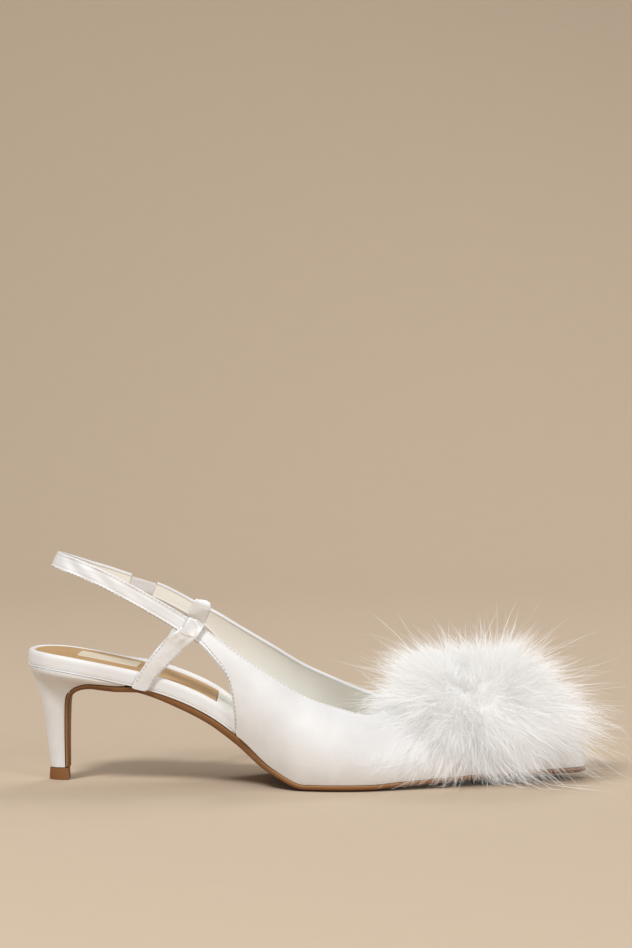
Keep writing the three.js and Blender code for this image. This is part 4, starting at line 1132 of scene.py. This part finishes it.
def makeOutsole():
    sizes, gap = soleSizes, last["gap"]
    sections = []
    heelStart = heelSizes["reach"] + sizes["bend"]
    for index in mix(lastIndex, indexAt(heelStart), np.arange(sizes["rows"] + 1) / sizes["rows"]):
        at = {name: float(value) for name, value in lastAt(index).items()}
        x = at["x"]
        down = -bedUp(np.array([x]))[0]
        waist = float(1 - smoothStep(x, placeAt(wingRows["low"][0]), placeAt(0.48)))
        grow = mix(sizes["overhang"], -bedInset - sizes["waistInset"], waist)
        half = max(at["half"] + grow * float(smoothStep(at["half"], 0, 4)), 0)
        thinned = mix(sizes["heelEdge"], sizes["waistEdge"], float(smoothStep(x, heelStart, placeAt(0.3))))
        edge = mix(sizes["edge"], thinned, waist)
        crown = (sizes["thickness"] - sizes["edge"]) * float(smoothStep(half, 0, 4 * sizes["edge"]))
        tipX = x + sizes["overhang"] * float(smoothStep(x, placeAt(0.98), placeAt(1)))
        origin = np.array([tipX, 0, at["edgeZ"]]) + down * gap
        sections.append(soleSection(origin, down, at["middle"], half, edge, crown))
    # the tongue down the heel's front, with each row's half width and middle
    front = onHeel(heelRows["front"][1:], heelRows["frontUp"][1:])
    widths = np.stack([heelRows["half"][1:], heelRows["middle"][1:]], 1) * heelSizes["reach"]
    curve = smoothRows(np.concatenate([front[:, :1], widths, front[:, 2:]], 1)[:, None], sizes["tongueSpacing"])[:, 0]
    along = unit(np.gradient(curve[:, [0, 3]], axis=0))
    for share, (x, half, middle, z), (alongX, alongZ) in zip(np.linspace(0, 1, len(curve)), curve, along):
        out = np.array([-alongZ, 0, alongX])
        edge = mix(sizes["heelEdge"], sizes["flap"], min(3 * share, 1))
        crown = mix(sizes["thickness"] - sizes["edge"], 0, min(2.5 * share, 1))
        origin = np.array([x, 0, z]) + out * 1.5 * gap
        ring, tone = soleSection(origin, out, middle, half * 0.95, edge, crown)
        low = heelSizes["topPieceUp"] + gap
        ring[:, 2] = np.where(ring[:, 0] < heelSizes["reach"] / 2, np.maximum(ring[:, 2], low), ring[:, 2])
        sections.append((ring, tone))
    rings, tones = (np.array(values) for values in zip(*sections))
    shape = Shape()
    shape.addBody(rings, (-1,), tones)
    addPiece("soleLeather", shape, soleLeather, "sole_leather", ("outsole",), weld=0.01, sharpAngle=70)


makeOutsole()
print("outsole made")

# stays, loops and elastic

staySizes = {
    "width": 8.2,
    "thickness": 1.2,
    "bow": 1.8,
    "feet": {outerSide: 37.5, innerSide: 42.6},
    "share": {outerSide: 1, innerSide: 0.88},  # of the width
    "loopWall": 1,
    "loopShift": {outerSide: -0.7, innerSide: 0.9},  # along the strap
    "loopRise": 0.45,
    "loopLength": 8.4,
    "sleeveLength": 7.4,
    "sleeveWall": 0.55,
    "columns": 30,
    "footDrop": 0.9,  # below the sole's edge line
    "footRound": 1.6,  # radius of its corners
    "folds": 2.5,
    "foldDepth": 0.16,
    "wave": 0.12,  # of the cloth, along the stay
    "crown": 0.12,
    "under": 0.15,  # between strap, stay and loop
    "rows": 90,
    "seam": 0.85,  # of the stitches from the edge
    "seamRows": (6, 72),
    "lipOut": 0.3,  # of the loop's ends
}
stayRows = asTable("width bow", [(0.92, 0), (0.97, 0.8), (1.1, 1), (1.17, 0.9), (1.04, 0.3)])
stayLast = len(stayRows["width"]) - 1


def stayFrame(side):
    centre, along, out, _ = (v[0] for v in strapFrame(np.array([0.0 if side == outerSide else strapLast])))
    forward = along * side
    footX = staySizes["feet"][side]
    foot = lastAt(indexAt(footX))
    offset = float(foot["half"]) - bedInset + 1.5 * last["gap"] + staySizes["thickness"] / 2
    start = np.array([footX, float(foot["middle"]) + side * offset, float(foot["edgeZ"])])
    up = centre + forward * (staySizes["loopLength"] / 4 + staySizes["loopShift"][side]) - start
    lift = unit(np.array([-up[2], 0, up[0]]))
    footwise = np.array([1, 0, float(edgeZAt(footX + 1) - edgeZAt(footX - 1)) / 2])
    return start, up, lift, footwise, forward, out


def makeStay(side, name, node):
    sizes, shape = staySizes, Shape()
    start, up, lift, footwise, forward, outLoop = stayFrame(side)
    long = np.linalg.norm(up)
    loopHalf = (upperSizes["strapWidth"] / 2 + last["gap"] + sizes["loopWall"]) / long
    topShare = 1 - 0.28 * loopHalf
    rings, seams = [], {-1: [], 1: []}
    across = np.linspace(-1, 1, sizes["columns"])
    thick = sizes["thickness"] / 2 * np.sqrt(np.clip(1 - np.abs(across) ** 8, 0, 1))
    crown = sizes["crown"] * (1 - across**2)
    for share in np.arange(sizes["rows"] + 1) / sizes["rows"]:
        t = mix(-sizes["footDrop"] / long, topShare, share)
        width, bow = (float(columnAt(stayRows, column, share * stayLast)) for column in ("width", "bow"))
        width *= sizes["width"] * sizes["share"][side]
        fromFoot = min((share * long * topShare + 0.15) / sizes["footRound"], 1)
        width -= 2 * sizes["footRound"] * (1 - np.sqrt(1 - (1 - fromFoot) ** 2))
        centre = start + up * t + lift * bow * sizes["bow"]
        outward = unit(mix(np.array([0, side, 0.0]), outLoop, float(smoothStep(t, 0, 0.6))))
        # the top end lies on the outside of the heel strap, under the sleeve
        over = last["wall"] / 2 + sizes["thickness"] / 2 + sizes["under"]
        centre = centre + outward * over * float(smoothStep(t, 1 - 2.4 * loopHalf, 1 - 1.0 * loopHalf))
        wide = mix(footwise, forward, float(smoothStep(t, 0, 0.7)))
        wide = unit(wide - outward * (wide @ outward))
        # soft pleats run down from the loop and fade out
        gather = float(smoothStep(share, 0.68, 0.92))
        pleat = sizes["foldDepth"] * gather * np.cos(across * pi * sizes["folds"] + 0.7 * side)
        pleat += sizes["wave"] * np.sin(share * 21 + across * 2) * smoothStep(share, 0.3, 0.6)
        flat = centre + wide * (across * width / 2)[:, None]
        front = flat + outward * (thick + pleat + crown)[:, None]
        back = flat + outward * (-thick + 0.6 * pleat + crown)[:, None]
        rings.append(np.concatenate([front, back[-2:0:-1]]))
        swell = sizes["crown"] * (1 - (1 - 2 * sizes["seam"] / width) ** 2)
        for end, seam in seams.items():
            at = centre + wide * end * (width / 2 - sizes["seam"])
            seam.append((at + outward * (sizes["thickness"] / 2 + 0.03 + swell), outward))
    shape.addBody(np.array(rings))
    addPiece(name, shape, strapSatin, "satin", (node,), weld=0.01, sharpAngle=75)
    stitches = Shape()
    for seam in seams.values():
        line, normal = np.array(seam)[slice(*sizes["seamRows"])].swapaxes(0, 1)
        addStitches(stitches, line, normal)
    addPiece(name + "Stitches", stitches, thread, "satin", weld=0.001)
    makeLoop(side, name + "Loop", start + up, forward)


def makeLoop(side, name, middle, forward):
    # a sleeve of folded satin round the heel strap, following the strap's own section
    sizes = staySizes
    face, back = outerFaces[side], innerFaces[side]
    centreLine = (face.mean(axis=1) + back.mean(axis=1)) / 2
    along = (centreLine - middle) @ forward
    near = np.linalg.norm(centreLine - middle, axis=1) < 14
    picks = np.arange(len(face))[near][np.argsort(along[near])]
    halfLong = sizes["sleeveLength"] / 2
    wanted = np.linspace(-halfLong, halfLong, 15)
    pick = lambda values: np.stack([np.interp(wanted, along[picks], values[picks][:, k]) for k in range(3)], 1)
    high, low = (pick((face[:, column] + back[:, column]) / 2) for column in (-1, 0))
    centre = pick(centreLine)
    out = unit(pick(face[:, face.shape[1] // 2] - back[:, face.shape[1] // 2]))
    up = unit(high - low)
    height = np.linalg.norm(high - low, axis=1)
    turn = np.arange(48) / 48 * 2 * pi
    squareUp, squareOut = (np.sign(v) * np.abs(v) ** 0.42 for v in (np.cos(turn), np.sin(turn)))
    # it holds the strap and, on its outside, the end of the stay
    shift = (sizes["thickness"] + sizes["under"]) / 2

    def sleeve(wall, pinch):
        grid = []
        for k, s in enumerate(wanted / halfLong):
            ripple = (0.09 * np.sin(3 * turn + 2.2 * s) + 0.06 * np.sin(7 * turn - 3 * s)) * (wall > 0)
            grown = wall * (1 - pinch * s * s)
            halfUp = height[k] / 2 + sizes["under"] + sizes["loopRise"] + grown + ripple
            halfOut = last["wall"] / 2 + 0.12 + shift + grown + ripple
            ring = centre[k] + out[k] * shift + up[k][None] * (squareUp * halfUp + sizes["loopRise"])[:, None]
            grid.append(ring + out[k][None] * (squareOut * halfOut)[:, None])
        return np.array(grid)

    outside, inside = sleeve(sizes["sleeveWall"], 0.35), sleeve(0.0, 0.0)

    def lip(end, beside):
        rise = unit(centre[end] - centre[beside]) * sizes["lipOut"]
        rows = ((0, 0), (0.3, 1), (0.7, 1), (1, 0))
        return np.array([mix(outside[end], inside[end], share) + rise * amount for share, amount in rows])

    shape = Shape()
    for grid in (outside, lip(-1, -2), inside[::-1], lip(0, 1)[::-1]):
        shape.addGrid(grid, closed=True)
    addPiece(name, shape, strapSatin, "satin", weld=0.005)


def makeElastic():
    # ribbed elastic with a rounded edge
    sizes = {"width": 5.2, "thickness": 1.0, "rows": 60, "columns": 60, "ribs": 9, "ribDepth": 0.14}
    v = np.linspace(-1, 1, sizes["columns"])
    ribs = 1 - sizes["ribDepth"] + sizes["ribDepth"] * np.cos(v * pi * sizes["ribs"])
    thick = sizes["thickness"] / 2 * np.clip(1 - np.abs(v) ** 10, 0, 1) ** 0.5 * ribs
    rings = []
    for row in np.linspace(upperSizes["elasticFrom"] + 0.02, upperSizes["elasticTo"] - 0.02, sizes["rows"]):
        centre, _, out, up = (value[0] for value in strapFrame(np.array([row])))
        flat = centre + up * (v * sizes["width"] / 2)[:, None]
        front, back = flat + out * thick[:, None], flat - out * thick[:, None]
        rings.append(np.concatenate([front, back[-2:0:-1]]))
    shape = Shape()
    shape.addBody(np.array(rings))
    addPiece("elasticInsert", shape, strapSatin, "elastic", ("elastic_insert",), weld=0.005, sharpAngle=60)


makeStay(outerSide, "outerStay", "stay_outer")
makeStay(innerSide, "innerStay", "stay_inner")
makeElastic()
print("stays made")

# feather pompom

pompomSizes = {
    "half": (47, 42, 30),
    "at": 184,
    "lift": 6,
    "pieces": "ABCDEF",
    "strands": 12700,  # in each piece
    "guards": 1300,  # long single hairs in each piece
    "width": 0.15,
    "taper": (0.8, 1, 0.9, 0.72, 0.45, 0.0),  # of a strand, at its joints
    "clumps": 300,
    "reach": 1.06,  # of the strands beyond the ball's half sizes
    "core": 0.66,
    "coreSteps": (96, 56),
    "coreClear": 0.35,  # over the vamp
    "clear": 0.4,
    "floor": 1.2,
    "lowest": -0.86,  # no strand starts straight down into the vamp
    "pull": (0.4, 0.95),  # of the strands towards their tuft
    "clumpBend": 0.15,
    "stray": 0.11,
    "roots": (0.3, 0.72),  # of the way out
    "bend": 0.12,  # of the length
    "curl": 0.9,
    "droop": (0.1, 0.4),
    "widths": (0.6, 1.25),
    "guardWidth": 1.45,
    "low": (100, -58.5, 1.2),  # corners that no strand passes
    "high": (256.5, 66.5, 110),
    "seed": 7,
}


def vampTop(x, y):
    # height of the vamp's outer face over a plan point, and how far inside its outline the point is
    side = np.where(y < lastAt(indexAt(x))["ridgeY"], outerSide, innerSide)
    near, far = lastAt(indexAt(x), outerSide), lastAt(indexAt(x), innerSide)
    tuck = np.where(side == outerSide, near["tuck"], far["tuck"])
    reach = np.abs((near["middle"] + side * near["half"] - near["ridgeY"]) / np.cos(tuck))
    across = np.abs(y - near["ridgeY"]) / np.maximum(reach, 1e-6)
    sinPhi = np.sqrt(np.clip(1 - across**2, 0, 1))
    height = near["edgeZ"] + near["ridge"] * (1 - (1 - sinPhi) / (1 + np.sin(tuck)))
    return height, across, reach, side, near


def clearOfShoe(points, clear):
    # moves points that would be in the vamp or the sole out of it, and keeps them over the floor
    x, y, z = np.moveaxis(points, -1, 0)
    height, across, reach, side, near = vampTop(x, y)
    inRange = (x > 60) & (x < placeAt(1) + 1)
    inside = inRange & (across < 1) & (z < height + clear) & (z > near["edgeZ"] - 4)
    # over the opening they are left free
    outerOpening, innerOpening = (np.cos(openingPhi(indexAt(x), s)) for s in (outerSide, innerSide))
    inside &= (x > throatX) | (across > np.where(side == outerSide, outerOpening, innerOpening))
    lifted = inside & (height + clear - z <= reach * (1 - across) + clear)
    # beside the wall under its widest point the hair hangs clear of the tucked edge
    beside = inRange & (across >= 1) & (across < 1 + clear / np.maximum(reach, 1))
    beside &= z < near["edgeZ"] + near["ridge"]
    z = np.where(lifted, height + clear, z)
    y = np.where((inside & ~lifted) | beside, near["ridgeY"] + side * (reach + clear), y)
    return np.stack([x, y, np.maximum(z, pompomSizes["floor"])], -1)


def ballRadius(way):
    # how far the ball reaches in each direction: two soft lobes on top, fuller low down over the toe
    sideways, up = way[..., 0], way[..., 2]
    lobes = 0.1 * np.exp(-(((sideways + 0.42) / 0.2) ** 2)) + 0.16 * np.exp(-(((sideways - 0.34) / 0.22) ** 2))
    notch = 0.62 * np.exp(-(((sideways + 0.05) / 0.17) ** 2))
    overToe = 0.2 * smoothStep(sideways, 0.35, 0.75) * smoothStep(-up, -0.1, 0.3)
    behind = 0.05 * smoothStep(-sideways, 0.5, 0.9)
    return 0.97 + np.clip(up, 0, 1) * (lobes - notch - 0.05) - 0.05 * np.clip(-up, 0, 1) + overToe - behind


def makeCore(centre, half):
    # the dense down in the middle, in the down's material with its faint painted glow
    around, over = pompomSizes["coreSteps"]
    turn, rise = np.arange(around) / around * 2 * pi, np.linspace(-pi / 2, pi / 2, over)[:, None]
    x, y, z = np.broadcast_arrays(np.cos(rise) * np.cos(turn), np.cos(rise) * np.sin(turn), np.sin(rise))
    way = np.stack([x, y, z], -1)
    lump = 0.02 * np.sin(x * 9 + 1) * np.cos(y * 8) + 0.015 * np.sin(z * 11 + x * 6)
    body = centre + way * half * (pompomSizes["core"] * ballRadius(way) + lump)[..., None]
    shape = Shape()
    shape.addGrid(clearOfShoe(body, pompomSizes["coreClear"]), closed=True, tone=0.3)
    addPiece("downCore", shape, downMaterial, "feather", ("pompom",), weld=0.02, outward=tuple(centre))


def makeFeathers(name, rng, centre, half, clumps):
    sizes = pompomSizes
    clumpWay, clumpBend, clumpLong = clumps
    count, joints = sizes["strands"] + sizes["guards"], len(sizes["taper"])
    guard = np.arange(count) >= sizes["strands"]
    way = unit(rng.normal(size=(count, 3)))
    way[:, 2] = np.where(way[:, 2] < sizes["lowest"], -way[:, 2], way[:, 2])
    nearest = np.argmax(way @ clumpWay.T, axis=1)
    pull = rng.uniform(*sizes["pull"], count)[:, None]
    stray = rng.normal(size=(count, 3)) * sizes["stray"]
    grow = unit(mix(way, clumpWay[nearest], pull) + clumpBend[nearest] + stray)
    # how far each goes: the guards farther, most of all low down
    own = np.clip(rng.normal(0.88, 0.12, count), 0.55, 1.1)
    reach = sizes["reach"] * ballRadius(way) * clumpLong[nearest] * own
    farther = (1.06 + 0.42 * rng.uniform(0, 1, count) ** 2.5) * (1 + 0.25 * np.clip(-way[:, 2], 0, 1))
    reach = np.where(guard, reach * farther, reach)
    root = centre + unit(mix(way, grow, 0.1)) * half * rng.uniform(*sizes["roots"], count)[:, None]
    tip = centre + grow * half * reach[:, None]
    length = np.linalg.norm(tip - root, axis=1)
    bendWay = unit(np.cross(grow, rng.normal(size=(count, 3))))
    bend = rng.normal(0, sizes["bend"], count) * length * np.where(guard, 0.8, 1.0)
    curlWay = unit(np.cross(grow, bendWay))
    curl = rng.normal(0, sizes["curl"], count)[:, None]
    phase = rng.uniform(0, 2 * pi, count)[:, None]
    droop = rng.uniform(*sizes["droop"], count) * length * (1 - np.clip(grow[:, 2], 0, 1)) ** 1.3
    droop = np.where(guard, droop * 0.5, droop)
    s = np.linspace(0, 1, joints)
    spine = root[:, None] + (tip - root)[:, None] * s[None, :, None]
    spine = spine + bendWay[:, None] * (bend[:, None] * np.sin(pi * s * 0.9))[..., None]
    spine = spine + curlWay[:, None] * (curl * s**1.5 * np.sin(4.5 * s + phase))[..., None]
    spine[..., 2] -= droop[:, None] * s**2
    spine = np.clip(clearOfShoe(spine, sizes["clear"]), sizes["low"], sizes["high"])
    # each is a flat ribbon that ends in a point
    flat = unit(np.cross(unit(np.gradient(spine, axis=1)), rng.normal(size=(count, 1, 3))))
    wide = sizes["width"] * rng.uniform(*sizes["widths"], count) * np.where(guard, sizes["guardWidth"], 1.0)
    offset = flat * (wide[:, None] * np.array(sizes["taper"]) / 2)[..., None]
    sides = np.stack([(spine - offset)[:, :-1], (spine + offset)[:, :-1]], 2).reshape(count, -1, 3)
    points = np.concatenate([sides, spine[:, -1:]], axis=1)
    base = (np.arange(count) * points.shape[1])[:, None]
    quads = [base + np.array([[2 * j, 2 * j + 1, 2 * j + 3, 2 * j + 2]]) for j in range(joints - 2)]
    ends = base + np.array([[2 * joints - 4, 2 * joints - 3, 2 * joints - 2]])
    tone = np.append(np.repeat(s[:-1], 2), 1.0) * np.ones((count, 1))
    mesh = buildMesh(name, points, [np.concatenate(quads), ends], tone)
    mesh.shade_smooth()
    placePiece(name, mesh, featherMaterial, "feather", ("pompom",))


def makePompom():
    sizes = pompomSizes
    rng = np.random.default_rng(sizes["seed"])
    seat = onLast(indexAt(sizes["at"]), pi / 2, outerSide, 0.0)
    centre = np.array([sizes["at"], seat[1], seat[2] + sizes["lift"]])
    half = np.array(sizes["half"], float)
    makeCore(centre, half)
    # tufts: each gathers the strands near it and gives them a common bend
    way = unit(rng.normal(size=(sizes["clumps"], 3)))
    bend = rng.normal(size=(sizes["clumps"], 3)) * sizes["clumpBend"]
    long = np.clip(0.97 + 0.13 * rng.normal(size=sizes["clumps"]), 0.72, 1.22)
    for letter in sizes["pieces"]:
        makeFeathers("feather" + letter, rng, centre, half, (way, bend, long))


makePompom()
print("pompom made")

# stage, light and camera

stageSizes = {
    "colour": (0.60, 0.475, 0.35),
    "width": 6.0,
    "front": -3.0,
    "sweepAt": 0.9,
    "sweepRadius": 0.9,
    "height": 3.0,
}
lights = [
    # name, place, aimed at, size, power, colour
    ("keyLight", (-0.8, -1.15, 1.8), (0.1, 0, 0.03), 0.6, 33, (1.0, 0.997, 0.99)),
    ("fillLight", (1.3, -1.5, 0.7), (0.12, 0, 0.03), 1.0, 12, (1.0, 0.99, 0.98)),
    ("backLight", (0.5, 1.0, 1.2), (0.1, 0, 0.03), 0.7, 6, (1.0, 0.99, 0.98)),
]
skyLight = {"colour": (0.95, 0.98, 1.0, 1), "strength": 0.32}
cameraSizes = {"at": (0.115, -1.485, 0.222), "down": 3.28, "lens": 126.46, "sensor": 36, "clipStart": 0.01}


def makeStage():
    sizes = stageSizes
    foot, radius, side = sizes["sweepAt"], sizes["sweepRadius"], sizes["width"] / 2
    line = [(sizes["front"], 0)]
    line += [(foot + radius * np.sin(a), radius * (1 - np.cos(a))) for a in np.linspace(0, pi / 2, 24)]
    line.append((foot + radius, sizes["height"]))
    grid = np.array([[(x, y, z) for x in (-side, side)] for y, z in line]) / millimetre
    mesh = buildMesh("studioFloor", grid, [gridFaces(len(line), 2)])
    mesh.shade_smooth()
    material, tree, shader = startMaterial("studioPaper", {"Roughness": 0.85})
    paper = fillGroup(tree, grainGroup, {"Pebbles": 700.0, "Pores": 2500.0})
    shade = [v * 0.97 for v in sizes["colour"]]
    feed(tree, shader, {"Base Color": blendColours(tree, paper["Mottle"], shade, sizes["colour"])})
    mesh.materials.append(material)
    floor = addObject("studioFloor", mesh)


def makeLights():
    for name, place, target, size, power, colour in lights:
        data = bpy.data.lights.new(name, "AREA")
        data.shape, data.size, data.energy, data.color = "DISK", size, power, colour
        lamp = addObject(name, data)
        lamp.location = place
        lamp.rotation_euler = (Vector(target) - Vector(place)).to_track_quat("-Z", "Y").to_euler()
    bpy.context.scene.view_settings.view_transform = "Standard"
    world = bpy.data.worlds.new("studioWorld")
    bpy.context.scene.world = world
    world.use_nodes = True
    sky = world.node_tree.nodes["Background"].inputs
    sky["Color"].default_value = skyLight["colour"]
    sky["Strength"].default_value = skyLight["strength"]


def makeCamera():
    sizes = cameraSizes
    data = bpy.data.cameras.new("photoCamera")
    data.lens, data.sensor_width, data.clip_start = sizes["lens"], sizes["sensor"], sizes["clipStart"]
    camera = addObject("photoCamera", data)
    camera.location = sizes["at"]
    camera.rotation_euler = (radians(90 - sizes["down"]), 0, 0)
    bpy.context.scene.camera = camera


makeStage()
makeLights()
makeCamera()
print("stage, lights and camera set")
